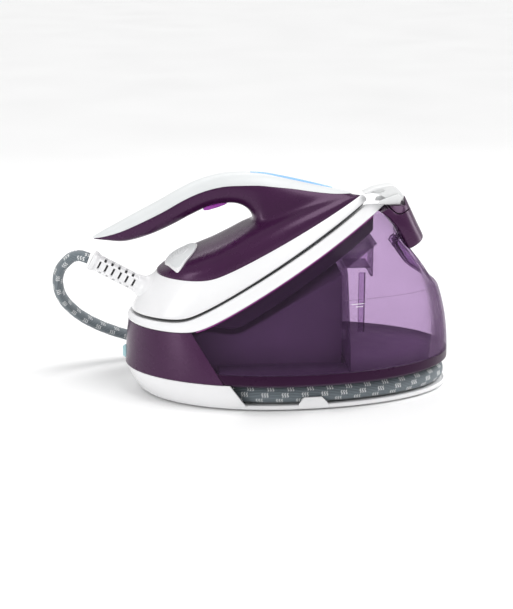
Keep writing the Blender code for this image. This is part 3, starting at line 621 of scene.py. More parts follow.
def woven(name):
    """The hose's sleeve: a fine rib weave in slate, with rows of three pale zig-zag strokes. Its colour is
    lighter on the ribs and yarns and darker in the furrows between them, which is painted shade.
    """
    s = Shader(name)
    route = s.node("ShaderNodeUVMap")
    route.uv_map = "route"
    split = s.node("ShaderNodeSeparateXYZ", Vector=route.outputs[0])
    along, around = split.outputs[0], split.outputs[1]
    row = s.math("DIVIDE", around, ROW_PITCH)
    height = s.math("FRACT", row)
    shift = s.times(s.math("FLOOR", row), ROW_SHIFT)
    zig = s.times(s.math("PINGPONG", height, 0.3), 0.2)
    cell = s.math("FRACT", s.plus(s.plus(s.math("DIVIDE", along, STROKE_PITCH), shift), zig))
    strand = s.within(s.math("FRACT", s.times(cell, 8.0)), 0.34, 0.84)
    group = s.times(s.math("LESS_THAN", cell, 0.375), strand)
    marked = s.times(group, s.within(height, 0.1, 0.86))
    ribs = s.math("SINE", s.times(around, 2 * pi / RIB_PITCH))
    slant = s.times(around, 0.7)
    ways = [s.math(way, along, slant) for way in ("ADD", "SUBTRACT")]
    braid = s.times(*(s.math("SINE", s.times(way, 2 * pi / YARN_PITCH)) for way in ways))
    weave = s.plus(s.times(ribs, 0.6), s.times(braid, 0.4))
    fuzz = s.noise(1500.0, 3.0)
    # The colour follows the weave: lighter on ribs and yarns, darker in the furrows between them, which is
    # painted shade; the fuzz adds random tone.
    shade = s.ranged(s.plus(weave, fuzz), -0.35, 1.35, 0.0, 1.0)
    slate = s.blend(shade, (0.024, 0.036, 0.045, 1), (0.25, 0.295, 0.325, 1))
    pale = s.blend(shade, (0.5, 0.52, 0.53, 1), (0.86, 0.87, 0.87, 1))
    s.set(
        Base_Color=s.blend(marked, slate, pale),
        Roughness=s.ranged(fuzz, 0.3, 0.7, 0.6, 0.8),
        Normal=s.bump(s.plus(weave, s.times(marked, 0.8)), 0.6, 0.00025),
        Sheen_Weight=0.25,
        Sheen_Roughness=0.5,
    )
    return s.material


def floor_finish():
    s = Shader("pale floor")
    cloud = s.noise(3.0, 3.0)
    s.set(
        Base_Color=s.blend(cloud, (0.93, 0.93, 0.93, 1), (0.95, 0.95, 0.95, 1)),
        Roughness=s.ranged(cloud, 0.3, 0.7, 0.45, 0.6),
        Specular_IOR_Level=0.2,
    )
    return s.material


PLUM_GLOSS = (1.0, 0.68, 1.0)
finishes = {}


def make_finishes():
    finishes.update({
        "white": plastic("gloss white plastic", (0.84, 0.84, 0.85), 0.2, 0.08, 0.012),
        "aubergine": plastic(
            "gloss aubergine plastic", (0.038, 0.008, 0.038), 0.26, 0.06, 0.08, 0.4, 0.03, PLUM_GLOSS
        ),
        "deep": plastic(
            "deep aubergine plastic", (0.021, 0.004, 0.021), 0.3, 0.06, 0.08, 0.2, 0.0, PLUM_GLOSS
        ),
        "dark": plastic("satin dark plastic", (0.04, 0.018, 0.046), 0.5, 0.03, 0.08, 0.2),
        "core": plastic("satin plum plastic", (0.15, 0.1, 0.165), 0.55, 0.03, 0.05, 0.2),
        "pearl": plastic("satin pearl plastic", (0.8, 0.81, 0.81), 0.35, 0.15, 0.015),
        # Magenta for the rim line: painted glow of the clear tank's top edge.
        "rim_glow": plastic("painted magenta rim glow", (0.3, 0.02, 0.25), 0.3, 0.05, 0.05),
        "lavender": clear_plastic("clear lavender plastic", (0.845, 0.77, 0.872), (0.2, 0.13, 0.22)),
        "light_grey": plastic("satin light grey plastic", (0.7, 0.72, 0.725), 0.42, 0.25, 0.02),
        "magenta": plastic("gloss magenta plastic", (0.36, 0.012, 0.42), 0.18, 0.08, 0.06, 0.5, 0.4),
        "light_blue": glowing("light blue guide", (0.2, 0.45, 0.92), 0.25),
        # Black plastic; on the steam vents it is painted shade for the holes.
        "black": plastic("black heat-proof plastic", (0.012, 0.012, 0.014), 0.5, 0.4, 0.1),
        "pale_green": plastic("pale green plastic", (0.42, 0.66, 0.7), 0.3, 0.15, 0.04),
        "rubber": rubbery("grey rubber", (0.05, 0.05, 0.055)),
        "steel": metal("brushed steel", (0.6, 0.6, 0.62), 0.3),
        "cast_alloy": cast_metal("cast alloy", (0.52, 0.52, 0.53)),
        # The soleplate's dark colour: partly its own dark glaze, partly painted shade for the gap between the
        # skirt and the platform's rim.
        "soleplate": plastic("glazed soleplate with painted gap shade", (0.03, 0.03, 0.04), 0.18, 0.3, 0.15, 0.7, 0.6),
        "copper": metal("copper", (0.72, 0.33, 0.2), 0.28),
        "board": circuit("circuit board"),
        "hose": woven("woven hose sleeve"),
    })


# The camera and the light.

CAMERA_TURN = -4.0
CAMERA_RISE = 15.5
CAMERA_TARGET_M = (-0.0137, 0.0, 0.0859)
CAMERA_DISTANCE_M = 1.4
SKY_STRENGTH = 0.55
SUN_STRENGTH = 1.8
SUN_SPREAD = 45.0
SUN_FROM = (0.42, -0.25, 0.9)
FLOOR_REACH_M = 40.0


def make_camera():
    data = bpy.data.cameras.new("camera")
    camera = added("camera", data)
    turn = radians(CAMERA_TURN)
    rise = radians(CAMERA_RISE)
    back = Vector((sin(turn) * cos(rise), -cos(turn) * cos(rise), sin(rise)))
    camera.location = Vector(CAMERA_TARGET_M) + back * CAMERA_DISTANCE_M
    camera.rotation_euler = back.to_track_quat("Z", "Y").to_euler()
    data.lens = 80.0
    data.sensor_width = 36.0
    data.clip_end = 20.0
    bpy.context.scene.camera = camera


def make_light(name, place_m, target_m, width, height, power):
    data = bpy.data.lights.new(name, "AREA")
    data.shape = "RECTANGLE"
    data.size = width
    data.size_y = height
    data.energy = power
    light = added(name, data)
    light.location = place_m
    toward = Vector(target_m) - Vector(place_m)
    light.rotation_euler = toward.to_track_quat("-Z", "Y").to_euler()


def make_studio():
    scene = bpy.context.scene
    scene.view_settings.view_transform = "Standard"
    world = bpy.data.worlds.new("studio")
    scene.world = world
    world.use_nodes = True
    sky = world.node_tree.nodes["Background"]
    sky.inputs["Color"].default_value = (1.0, 1.0, 1.0, 1.0)
    sky.inputs["Strength"].default_value = SKY_STRENGTH
    sun = bpy.data.lights.new("soft sun", "SUN")
    sun.energy = SUN_STRENGTH
    sun.angle = radians(SUN_SPREAD)
    above = added("soft sun", sun)
    above.rotation_euler = Vector(SUN_FROM).to_track_quat("Z", "Y").to_euler()
    make_light("left softbox", (-1.25, -0.85, 0.4), (-0.06, 0, 0.1), 0.36, 1.3, 7.0)
    make_light("right softbox", (1.25, 0.35, 0.45), (0.1, 0, 0.1), 0.4, 1.1, 5.0)
    make_light("back softbox", (-0.1, 0.9, 0.95), (0, 0, 0.15), 1.4, 0.4, 4.0)
    data = bpy.data.meshes.new("floor")
    corners = [(x * FLOOR_REACH_M, y * FLOOR_REACH_M, 0) for x, y in ((-1, -1), (1, -1), (1, 1), (-1, 1))]
    data.from_pydata(corners, [], [(0, 1, 2, 3)])
    floor = added("floor", data)
    data.materials.append(floor_finish())


# The hose. Its route repeats the CAD model's.

HOSE_LOOP = (
    (-184.6, 0.0, 137.9), (-187.8, 0.1, 139.1), (-193.5, 1.2, 140.6), (-201.5, 3.6, 138.6),
    (-209.0, 7.6, 131.8), (-214.8, 12.0, 123.5), (-218.0, 19.0, 111.5), (-217.8, 27.0, 98.5),
    (-214.5, 36.0, 86.0), (-207.5, 46.0, 73.5), (-196.0, 57.0, 60.0), (-180.0, 69.0, 47.0),
    (-160.0, 81.0, 35.0), (-136.0, 91.0, 25.0), (-110.0, 98.0, 18.5), (-82.0, 101.5, 15.7),
    (-52.0, 100.5, HOSE_Z), (-22.0, 94.0, HOSE_Z), (6.0, 84.5, HOSE_Z),
)
OUTER_LANE = (177.5, -60.0, 81.5, 6.0)
INNER_LANE = (164.9, -60.0, 69.0, 6.0)
HOSE_REAR = (
    (-24.0, -78.0), (-52.0, -67.0), (-80.0, -52.0), (-104.0, -30.0), (-114.0, 0.0), (-104.0, 30.0),
    (-80.0, 49.0), (-52.0, 61.0), (-24.0, 67.2),
)
HOSE_THIN = 5.5
HOSE_WIDE = 8.4
HOSE_STEPS = 520
HOSE_SIDES = 36


def lane(plan, start, end, steps):
    return [(*egg(radians(mix(start, end, i / steps)), *plan), HOSE_Z) for i in range(steps + 1)]


def make_hose():
    route = list(HOSE_LOOP) + lane(OUTER_LANE, 82, -90, 16)
    route += [(x, y, HOSE_Z) for x, y in HOSE_REAR]
    route += lane(INNER_LANE, 90, -74, 16)
    path = smooth_points(route, HOSE_STEPS)
    sides = HOSE_SIDES
    arc = [0.0]
    for k in range(sides):
        a, b = (2 * pi * (k + s) / sides for s in (0, 1))
        dx = HOSE_WIDE * (cos(b) - cos(a))
        dy = HOSE_THIN * (sin(b) - sin(a))
        arc.append(arc[-1] + hypot(dx, dy))
    points = []
    distance = 0.0
    distances = []
    for i, here in enumerate(path):
        if i:
            distance += (here - path[i - 1]).length
        distances.append(distance)
        ahead = (path[min(i + 1, len(path) - 1)] - path[max(i - 1, 0)]).normalized()
        level = smooth_step(215.0, 330.0, distance)
        wide = Vector((0.0, 1.0, 0.0)).lerp(Vector((0.0, 0.0, 1.0)), level)
        wide = (wide - ahead * wide.dot(ahead)).normalized()
        thin = ahead.cross(wide)
        points += [here + out for _, out in circle(sides, wide * HOSE_WIDE, thin * HOSE_THIN)]
    mesh = bpy.data.meshes.new("woven_steam_hose")
    faces = bands(sides, len(path))
    ends = [tuple(reversed(range(sides))), tuple(range((len(path) - 1) * sides, len(path) * sides))]
    mesh.from_pydata([p * MM for p in points], [], faces + ends)
    layer = mesh.uv_layers.new(name="route")
    corner = 0
    for level in range(len(path) - 1):
        for k in range(sides):
            for at, side in ((level, k), (level, k + 1), (level + 1, k + 1), (level + 1, k)):
                layer.data[corner].uv = (distances[at] * MM, arc[side] * MM)
                corner += 1
    mesh.shade_smooth()
    hose = added("woven_steam_hose", mesh)
    mesh.materials.append(finishes["hose"])
    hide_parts("steam_hose")
    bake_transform(hose)


# The station.


def skin(angle, v, inset=0.0):
    x0, y0 = rim_xy(angle, inset)
    x1, y1 = dock_xy(angle, inset)
    c = max(cos(angle), 0.0)
    lean = v ** (1.3 + 1.1 * c * c)
    z = mix(RIM_Z, dock_z(x1), v)
    return mix(x0, x1, lean), mix(y0, y1, lean), z


def seam_x(z):
    """Where the slanted seam between the tank and the rear body lies."""
    return SEAM_X + SEAM_SLOPE * (z - RIM_Z)


def seam_angle(v, inset, clear):
    def ahead(angle):
        x, _, z = skin(angle, v, inset)
        return x > seam_x(z) + clear

    return turning_point(1.2, 3.0, ahead)


def half_width(x, z, inset):
    def found(angle):
        top = dock_z(dock_xy(angle, inset)[0])
        return skin(angle, min(max((z - RIM_Z) / (top - RIM_Z), 0.0), 1.0), inset)

    return found(turning_point(0.0, pi, lambda angle: found(angle)[0] > x))[1]


def shoulder(point):
    """Draws the middle of the tank's nose back, which leaves room for fingertips under the cap."""
    x, y, z = point
    depth = 21.0 * smooth_step(106.0, 134.0, z) * (1 - smooth_step(150.0, 162.0, z))
    depth *= 1 - smooth_step(10.0, 21.0, abs(y))
    return (x - depth * smooth_step(112.0, 140.0, x), y, z)


def skin_at(angle, z, inset=0.0):
    top = dock_z(dock_xy(angle, inset)[0])
    x, y, _ = skin(angle, (z - RIM_Z) / (top - RIM_Z), inset)
    return (x, y, z)


def skin_ring(z, inset):
    return [skin_at(2 * pi * i / RING, z, inset) for i in range(RING)]


def make_rear_body():
    def row(v, inset):
        start = seam_angle(v, inset, -GAP / 2)
        return [skin(angle, v, inset) for angle in spaced(start, 2 * pi - start, 97)]

    body = wall("rear_body_shell", row, spaced(0.0, 1.0, 17), (0.0, WALL))
    bore(body, (-160, 0, KNOB_Z), (1, 0, 0), 0, 30, 7.7)
    bore(body, (-100, 110, 54), (0.35, -1, 0), 0, 60, 9)
    boolean(body, box("inlet_hole", (-160, 28, 34), (-100, 46, 50)))
    place(body, "aubergine", "station", "rear_body")


def make_tank_shell():
    def row(level, inset):
        points = []
        for side in spaced(-1.0, 1.0, 181):
            side *= 0.55 + 0.45 * abs(side)
            top = dock_z(dock_xy(side * seam_angle(level, inset, GAP / 2), inset)[0])
            v = mix((TANK_FLOOR + GAP - RIM_Z) / (top - RIM_Z), 1.0, level)
            points.append(shoulder(skin(side * seam_angle(v, inset, GAP / 2), v, inset)))
        return points

    shell = wall("clear_tank_shell", row, spaced(0.0, 1.0, 37), (0.0, WALL), 60.0)
    boolean(shell, cap_solid("cap_clearance", -0.5))
    place(shell, "lavender", "tank", "tank_shell")


def trim_to_tank(target, more):
    """Cuts away what reaches into the core's place, or past the seam with the rear body."""
    side = CORE_HALF + 3 + more
    boolean(target, box("slot", (-170, -side, 20), (TANK_BACK + more, side, 60)))
    low, high = 10.0, 60.0
    edge = [(REAR_X - 50, low)]
    edge += [(seam_x(z) + GAP + more, z) for z in (low, high)]
    edge += [(REAR_X - 50, high)]
    boolean(target, prism("seam", edge, -130, 130))


def make_tank_base():
    edge = ((RIM_Z + GAP, 0.8), (RIM_Z + GAP + 0.6, 0.2), (32.0, 0.0), (36.0, 0.0), (TANK_FLOOR, 0.0))
    base = stack("tank_base_band", [skin_ring(z, inset) for z, inset in edge])
    trim_to_tank(base, 0.0)
    place(base, "deep", "tank", "tank_base", slot="aubergine")
    edge = ((0.05, 3.2), (0.6, 3.2), (0.9, 3.7))
    floor = stack("tank_floor", [skin_ring(TANK_FLOOR + rise, inset) for rise, inset in edge])
    trim_to_tank(floor, 1.5)
    place(floor, "core", "tank", slot="aubergine")


def ceiling_z(x):
    return dock_z(x) - 24.0


def make_tank_inner():
    levels = spaced(TANK_FLOOR + GAP, ceiling_z(TANK_BACK), 13)
    upright = [(TANK_BACK, z, 1.0, 0.0) for z in levels[:-1]]
    ceiling = [(x, ceiling_z(x), 0.7, 1.0) for x in spaced(TANK_BACK, CEILING_FRONT, 12)]

    def row(step, depth):
        x = step[0] + step[2] * depth
        z = step[1] - step[3] * depth
        half = half_width(x, z, WALL + GAP) - 0.3
        return [(x, y, z) for y in spaced(-half, half, 17)]

    inner = wall("tank_inner_wall", row, upright + ceiling, (0.0, 2.2))
    bore(inner, (60, 0, VALVE_Z), (1, 0, 0), 0, 20, 6.4)
    place(inner, "lavender", "tank", "tank_inner")


CAP_FOOT = (158.3, 156.0)
CAP_LEAN = (-0.44, 0.898)
CAP_TOP = 190.8
LIP_X = 136.7
CAP_SECTIONS = (
    # distance up the front, set back at the front, depth, half width
    (0.0, 1.5, 20.5, 21.0),
    (2.5, 0.0, 22.0, 23.0),
    (14.0, 0.0, 22.6, 25.0),
    (25.0, 0.0, 23.4, 26.0),
    (33.0, 0.0, 25.0, 25.5),
    (39.5, 0.0, 27.0, 24.0),
    (46.5, 0.0, 31.0, 19.0),
)
BUTTON_LINE = (
    # x, height
    (119.0, 192.5), (121.5, 188.9), (125.0, 186.0), (128.4, 184.6), (132.0, 184.6), (136.0, 186.0),
    (140.0, 187.3), (150.0, 188.5),
)


def cap_solid(name, inset, drop=0.0):
    """The leaning cap, with its top cut level behind a low front lip."""
    rings = []
    for step in range(41):
        up, front, depth, half = catmull(CAP_SECTIONS, step / 40)
        up = up if step else -drop
        section = []
        for i in range(128):
            back, y = egg(2 * pi * i / 128, -front - inset, inset - depth, half - inset, 3.0 - depth)
            x = CAP_FOOT[0] + CAP_LEAN[0] * up + CAP_LEAN[1] * back
            section.append((x, y, CAP_FOOT[1] + CAP_LEAN[1] * up - CAP_LEAN[0] * back))
        rings.append(section)
    cap = stack(name, rings, 40.0)
    lip = 230.0 if inset > 0 else LIP_X - inset
    return boolean(cap, box("level_top", (90, -40, CAP_TOP - inset), (lip, 40, 240)))


def button_cut(drop):
    line = [catmull(BUTTON_LINE, i / 40) for i in range(41)]
    outline = [(x - drop * 0.7 * (x < 122), z - drop) for x, z in line]
    return prism("button_cut", outline + [(150.0, 220.0), (outline[0][0], 220.0)], -40, 40)


def make_tank_cap():
    """The filling cap, and above its curved line the saddle that a thumb presses to free the tank."""
    cap = cap_solid("filling_cap", 0.0)
    boolean(cap, cap_solid("hollow", 2.4, 12.0))
    boolean(cap, button_cut(1.3))
    place(rounded(cap, 0.5, 2, 40.0), "aubergine", "tank", "tank_cap")
    button = cap_solid("tank_release_button", 0.0)
    boolean(button, cap_solid("hollow", 2.4, 12.0))
    boolean(button, button_cut(0.0), "INTERSECT")
    place(rounded(button, 0.5, 2, 40.0), "aubergine", "release_button", "release_button")


def make_platform():
    """The white dock, with its rounded band and the rim that follows the iron."""
    def rim_z(x):
        return sole_z(x) - 1.6 - 1.1 * smooth_step(-40.0, 60.0, x)

    lower = ring(dock_xy, 0.0, dock_z, GAP)
    rim = ring(sole_xy, -1.2, rim_z)
    rings = [
        ring(sole_xy, 4.0, sole_z, -4.8),
        between(ring(dock_xy, 3.0, dock_z, GAP), rim, 0.6, -2.2),
        ring(dock_xy, 2.6, dock_z, GAP),
        ring(dock_xy, 0.5, dock_z, GAP),
        between(lower, rim, 0.03, 0.1),
    ]
    for step in range(1, 10):
        rings.append(between(lower, rim, step / 10, 1.9 * sin(pi * step / 10) ** 0.6))
    rings += [rim, ring(sole_xy, -0.6, rim_z, 0.05), ring(sole_xy, 1.4, rim_z, -0.3)]
    platform = stack("dock_platform", rings)
    place(platform, "white", "station", "platform")


def make_dock_frame():
    def frame_xy(angle, inset):
        return boat(angle, FRAME_NOSE - inset, FRAME_REAR + inset, FRAME_HALF - inset, DOCK_WIDEST)

    def foot_z(x):
        return min(dock_z(x) - 20.0 * smooth_step(-75.0, -30.0, x) - 0.6, dock_z(x) - 3.6)

    rings = [
        ring(frame_xy, 2.6, dock_z, -3.0),
        ring(frame_xy, 2.6, foot_z),
        ring(frame_xy, 0.8, foot_z),
        ring(frame_xy, 0.0, foot_z, 0.9),
        ring(frame_xy, 0.0, dock_z, -0.3),
    ]
    place(stack("dock_underframe", rings), "dark", "station", "dock_frame")


def make_core():
    def roof(x):
        return dock_z(x) - 21.5 * smooth_step(-75.0, -30.0, x) - 8.5

    outer = [(CORE_REAR, 33.0), (CORE_FRONT, 33.0)]
    outer += [(x, roof(x)) for x in spaced(CORE_FRONT, CORE_REAR, 49)]
    core = rounded(prism("core_cover", outer, -CORE_HALF, CORE_HALF), 5.0, 5, 50.0)
    bore(core, (50, 0, VALVE_Z), (1, 0, 0), 0, 30, 9.8)
    place(core, "core", "station", "core_housing", slot="dark")


REAR_WALL = (
    # rear x, half width, middle x, height, end x
    (-135.5, 90.0, 6.0, 4.0, -29.0),
    (-143.0, 96.0, 7.0, 16.0, -37.5),
    (-149.7, 100.7, 8.0, 29.5, -46.5),
)


def rear_wall(inset):
    """One face of the closed rear wall, whose ends slant like the body's seam above them."""
    levels = []
    for step in range(13):
        rear, half, middle, z, end_x = catmull(REAR_WALL, step / 12)
        start = acos((end_x - middle) / (middle - rear))
        plan = (TRAY_FRONT, rear + inset, half - inset, middle)
        levels.append([(*egg(angle, *plan), z) for angle in spaced(start, 2 * pi - start, 97)])
    return levels


def make_base():
    """The floor with its rounded lip, the closed rear wall, the channel's inner wall and two clip tabs."""
    edge = (
        (4.0, 1.6), (2.0, 1.7), (0.9, 2.2), (0.2, 3.0), (0.0, 4.0), (0.1, 5.2), (0.6, 6.1), (1.5, 6.4),
        (2.6, 5.2),
    )
    floor = stack("base_floor", [ring(tray_xy, inset, z) for inset, z in edge])
    place(floor, "white", "station", "base_tray")
    closed = plate("base_rear_wall", rear_wall(0.0), rear_wall(2.4))
    place(rounded(closed, 0.5, 2, 60.0), "white", "station")

    levels = ((0.0, 4.0), (0.0, CHANNEL_TOP), (2.0, CHANNEL_TOP), (2.0, 4.0))
    channel = [ring(channel_xy, inset, z, count=96) for inset, z in levels]
    place(hoop("hose_channel_wall", channel), "white", "station")
    for side, name in ((-1, "clip_tab_near"), (1, "clip_tab_far")):
        def row(level, inset):
            z, low, high = level
            points = []
            for x in spaced(low, high, 13):
                angle = acos((x - TRAY_WIDEST) / (TRAY_FRONT - TRAY_WIDEST))
                points.append((x, side * tray_xy(angle, inset)[1], z))
            return points

        levels = ((3.0, 20.0, 54.0), (9.0, 23.0, 50.0), (14.5, 27.0, 45.0))
        place(rounded(wall(name, row, levels, (-0.3, 1.9)), 0.6, 3, 40.0), "white", "station")
    edge = ((6.5, 27.2), (5.4, 27.5), (4.4, 28.4), (3.6, 29.9))
    deck = [ring(rim_xy, inset, z) for inset, z in edge]
    place(stack("base_upper_deck", deck), "dark", "station", "base_deck")


def make_controls():
    for number, (x, y) in enumerate(((105, -52), (105, 52), (-80, -44), (-80, 44)), 1):
        profile = [(0.0, 6.6), (0.0, 7.8), (0.3, 8.6), (0.8, 9.0), (1.3, 9.0)]
        foot = turned(f"rubber_foot_{number}", (x, y, 0), (0, 0, 1), profile, 72, 24, 0.25)
        place(foot, "rubber", "station", f"foot_{number}")
    dial = [(0, 6.2), (9.4, 6.7), (10, 7), (15.2, 7), (16.2, 6.8), (17.0, 6.2), (17.2, 5.2), (16.8, 4.8)]
    knob = turned("descale_dial", (-134, 0, KNOB_Z), (-1, 0, 0), dial, 96, 24, 0.35)
    grip = rounded(box("grip", (-152.6, -1.2, KNOB_Z - 5.4), (-149, 1.2, KNOB_Z + 5.4)), 0.5)
    boolean(knob, grip, "UNION")
    place(knob, "pale_green", "descale_knob", "descale_knob")
    push = [(0, 6.0), (0.3, 7.4), (1.2, 8.2), (2.2, 8.4), (16, 8.4)]
    button = turned("power_push_button", (-91.2, 84.9, 54), (0.33, -0.944, 0), push)
    place(button, "light_grey", "power_button", "power_button")
    inlet = [
        (0, 6.4), (17, 6.4), (17.4, 7.2), (18.2, 7.4), (21.8, 7.4), (22.6, 7.0), (23, 6.0), (22.6, 4.2),
        (19.0, 4.0),
    ]
    socket = turned("mains_inlet_collar", (-121, 37, 42), (-1, 0, 0), inlet, 64)
    place(socket, "rubber", "station", "mains_inlet")


def make_lock():
    outline = [
        (94.6, 202.4), (105.0, 207.2), (115.0, 209.6), (122.5, 210.3), (126.5, 209.2), (131.5, 204.6),
        (135.4, 199.4), (134.0, 195.2), (130.0, 193.4), (124.5, 193.6), (119.0, 196.4), (112.0, 200.6),
        (103.0, 202.9), (96.0, 201.6),
    ]
    lever = prism("carry_lock_lever", outline, -8.8, 8.8)
    recess = [(101.0, 203.6), (113.0, 207.4), (116.5, 204.8), (112.0, 202.4)]
    for low, high in ((-12.0, -6.6), (6.6, 12.0)):
        boolean(lever, prism("recess", recess, low, high))
    rounded(lever, 1.1, 3, 25.0)
    place(lever, "pearl", "carry_lock", "carry_lock", slot="light_grey")
    ear = [
        (109.0, 191.6), (131.0, 191.2), (133.0, 198.0), (129.5, 202.0), (124.5, 200.5), (110.0, 195.2),
    ]
    bracket = rounded(prism("carry_lock_ears", ear, -12.0, -9.3), 0.7)
    boolean(bracket, rounded(prism("far", ear, 9.3, 12.0), 0.7), "UNION")
    bore(bracket, (129, -10.5, 198), (0, 1, 0), 0, 21, 1.5, "UNION")
    place(bracket, "pearl", "station", "lock_bracket", slot="light_grey")


# The iron.

CROWN = (
    # x, height
    (-116.0, 126.0), (-107.0, 131.5), (-97.0, 138.5), (-78.0, 147.0), (-56.0, 156.0), (-40.0, 164.0),
    (-25.0, 172.0), (10.0, 186.0), (45.0, 196.0), (75.0, 200.6), (94.0, 200.9),
)
HANDLE = (
    # ridge x and z, underside x and z, half width above and below, depth of the cover
    (-179.5, 160.6, -178.3, 158.3, 5.0, 5.0, 1.0),
    (-168.0, 167.0, -165.5, 156.8, 11.0, 10.0, 4.5),
    (-152.0, 175.6, -147.0, 155.8, 15.5, 14.0, 7.5),
    (-131.5, 186.6, -124.0, 161.6, 17.5, 16.0, 9.0),
    (-111.2, 197.3, -101.0, 171.4, 18.0, 16.5, 9.5),
    (-91.0, 208.6, -80.0, 182.4, 18.0, 16.5, 9.5),
    (-72.0, 217.3, -61.5, 190.6, 18.0, 16.5, 10.0),
    (-51.0, 223.0, -46.0, 193.4, 17.5, 17.0, 10.5),
    (-31.0, 224.6, -34.0, 193.0, 17.0, 18.0, 11.0),
    (-8.0, 223.5, -24.5, 188.5, 16.5, 20.0, 11.0),
    (10.0, 220.2, -18.5, 180.5, 15.5, 24.0, 10.5),
    (30.0, 215.8, -16.0, 171.5, 14.5, 29.0, 9.5),
    (50.0, 211.0, 2.0, 168.0, 12.5, 30.0, 8.0),
    (68.0, 206.5, 32.0, 176.0, 9.5, 24.0, 5.5),
    (82.0, 203.4, 62.0, 188.0, 6.0, 14.0, 2.0),
)


def along(table, x):
    """A table's height at x, on a smooth curve through its points."""
    last = len(table) - 1
    if x <= table[0][0]:
        return table[0][1]
    if x >= table[-1][0]:
        return table[-1][1]
    at = next(i for i in range(last) if x <= table[i + 1][0])
    x0, z0 = table[at]
    x1, z1 = table[at + 1]
    before = table[max(at - 1, 0)]
    after = table[min(at + 2, last)]
    slope0 = (z1 - before[1]) / (x1 - before[0])
    slope1 = (after[1] - z0) / (after[0] - x0)
    t = (x - x0) / (x1 - x0)
    span = x1 - x0
    return (
        (2 * t**3 - 3 * t * t + 1) * z0 + (t**3 - 2 * t * t + t) * span * slope0
        + (3 * t * t - 2 * t**3) * z1 + (t**3 - t * t) * span * slope1
    )


def crown_height(x, y):
    half = waist_xy(turning_point(0.0, pi, lambda angle: waist_xy(angle)[0] > x))[1]
    share = max(0.0, 1 - (abs(y) / half) ** BULGE) ** (1 / BULGE)
    return mix(waist_z(x), along(CROWN, x), share)


def bulged(share):
    """A sine or cosine pushed out, so that a round section becomes a fuller one."""
    return copysign(abs(share) ** (2 / BULGE), share)


def crown_solid(name, skirt_depth):
    sections = []
    for step in range(1, 90):
        x, b = waist_xy(pi * step / 90)
        b = max(b, 0.6)
        base = waist_z(x)
        top = max(along(CROWN, x), base + 0.8)
        section = [(x, b - 0.4, base - skirt_depth)]
        for turn in spaced(0.0, pi, 41):
            section.append((x, b * bulged(cos(turn)), base + (top - base) * bulged(max(sin(turn), 0.0))))
        section.append((x, -b + 0.4, base - skirt_depth))
        sections.append(section)
    return loft(name, sections)


def handle_section(row, swell, start, end, count):
    """Part of a handle section between two turns, where a quarter turn is the ridge."""
    rx, rz, ux, uz, ridge_half, under_half, _ = row
    ridge = Vector((rx, 0, rz))
    under = Vector((ux, 0, uz))
    middle = (ridge + under) / 2
    up = (ridge - under).normalized()
    reach = (ridge - under).length / 2 + swell
    points = []
    for turn in spaced(start, end, count):
        half = mix(ridge_half, under_half, (1 - sin(turn)) / 2) + swell
        points.append(middle + up * reach * bulged(sin(turn)) + Vector((0, half * bulged(cos(turn)), 0)))
    return points


def cover_start(row):
    rx, rz, ux, uz, _, _, depth = row
    reach = hypot(rx - ux, rz - uz) / 2
    share = max(-0.98, min(0.98, (reach - depth) / reach))
    return asin(copysign(abs(share) ** (BULGE / 2), share))


def handle_rows(count):
    return [catmull(HANDLE, i / (count - 1)) for i in range(count)]


def surface_of(target):
    return BVHTree.FromObject(target, bpy.context.evaluated_depsgraph_get())


def soften_joint(target, surfaces, reach, rounds):
    """Smooths a mesh where it lies close to both of the surfaces that it was joined from."""
    shape = bmesh.new()
    shape.from_mesh(target.data)
    shape.verts.ensure_lookup_table()
    weights = {}
    for vert in shape.verts:
        distance = max(s.find_nearest(vert.co)[3] for s in surfaces)
        if distance < reach * MM:
            weights[vert.index] = 1 - distance / (reach * MM)
    near = {i: [e.other_vert(shape.verts[i]).index for e in shape.verts[i].link_edges] for i in weights}
    places = [v.co.copy() for v in shape.verts]
    for _ in range(rounds):
        moved = {}
        for i, others in near.items():
            middle = sum((places[j] for j in others), Vector()) / len(others)
            moved[i] = places[i].lerp(middle, 0.85 * min(1.0, 1.6 * weights[i]))
        for i, at in moved.items():
            places[i] = at
    for i in near:
        shape.verts[i].co = places[i]
    shape.to_mesh(target.data)
    shape.free()


RELIEF_END = (-181.9, 0.0, 136.4)
RELIEF_AXIS = (0.874, 0.0, -0.486)
RELIEF_LENGTH = 66.0
RELIEF_LEVELS = 330
SLOTS_START = 8.0
SLOT_PITCH = 7.8
SLOT_FLOOR = 6.2


def make_housing():
    """Crown and handle core in one moulding, blended where they meet, with the trigger's slot."""
    housing = crown_solid("iron_upper_body", 6.0)
    sides = 49
    sections = [handle_section(row, -0.3, 0.0, 2 * pi * (1 - 1 / sides), sides) for row in handle_rows(90)]
    core = loft("core", sections)
    surfaces = [surface_of(housing), surface_of(core)]
    boolean(housing, core, "UNION")
    remesh = housing.modifiers.new("Remesh", "REMESH")
    remesh.mode = "VOXEL"
    remesh.voxel_size = 1.0 * MM
    apply(housing)
    soften_joint(housing, surfaces, 13.0, 36)
    boolean(housing, box("slot", (-69.6, -7.7, 178), (-41.0, 7.7, 199)))
    bore(housing, RELIEF_END, RELIEF_AXIS, 5.0, 84.0, 10.2)
    shade(housing.data, 50)
    place(housing, "aubergine", "iron", "iron_housing")


def make_handle_cover():
    def row(section, face):
        start = cover_start(section) - 0.02 * face
        return handle_section(section, -1.4 * face, start, pi - start, 33)

    place(wall("handle_top_cover", row, handle_rows(110)), "light_grey", "iron", "handle_cover")


def make_light_strip():
    ridge = [section[:2] for section in HANDLE]

    def row(u, face):
        x = mix(-20.0, 63.0, u)
        half = 4.2 * max(0.05, sin(pi * mix(0.02, 0.98, u))) ** 0.5
        z = along(ridge, x)
        return [(x, half * s, z - 0.5 if face else z + 0.65 - 0.35 * s * s) for s in spaced(-1.0, 1.0, 13)]

    place(wall("handle_light_strip", row, spaced(0.0, 1.0, 49)), "light_blue", "iron", "light_strip")


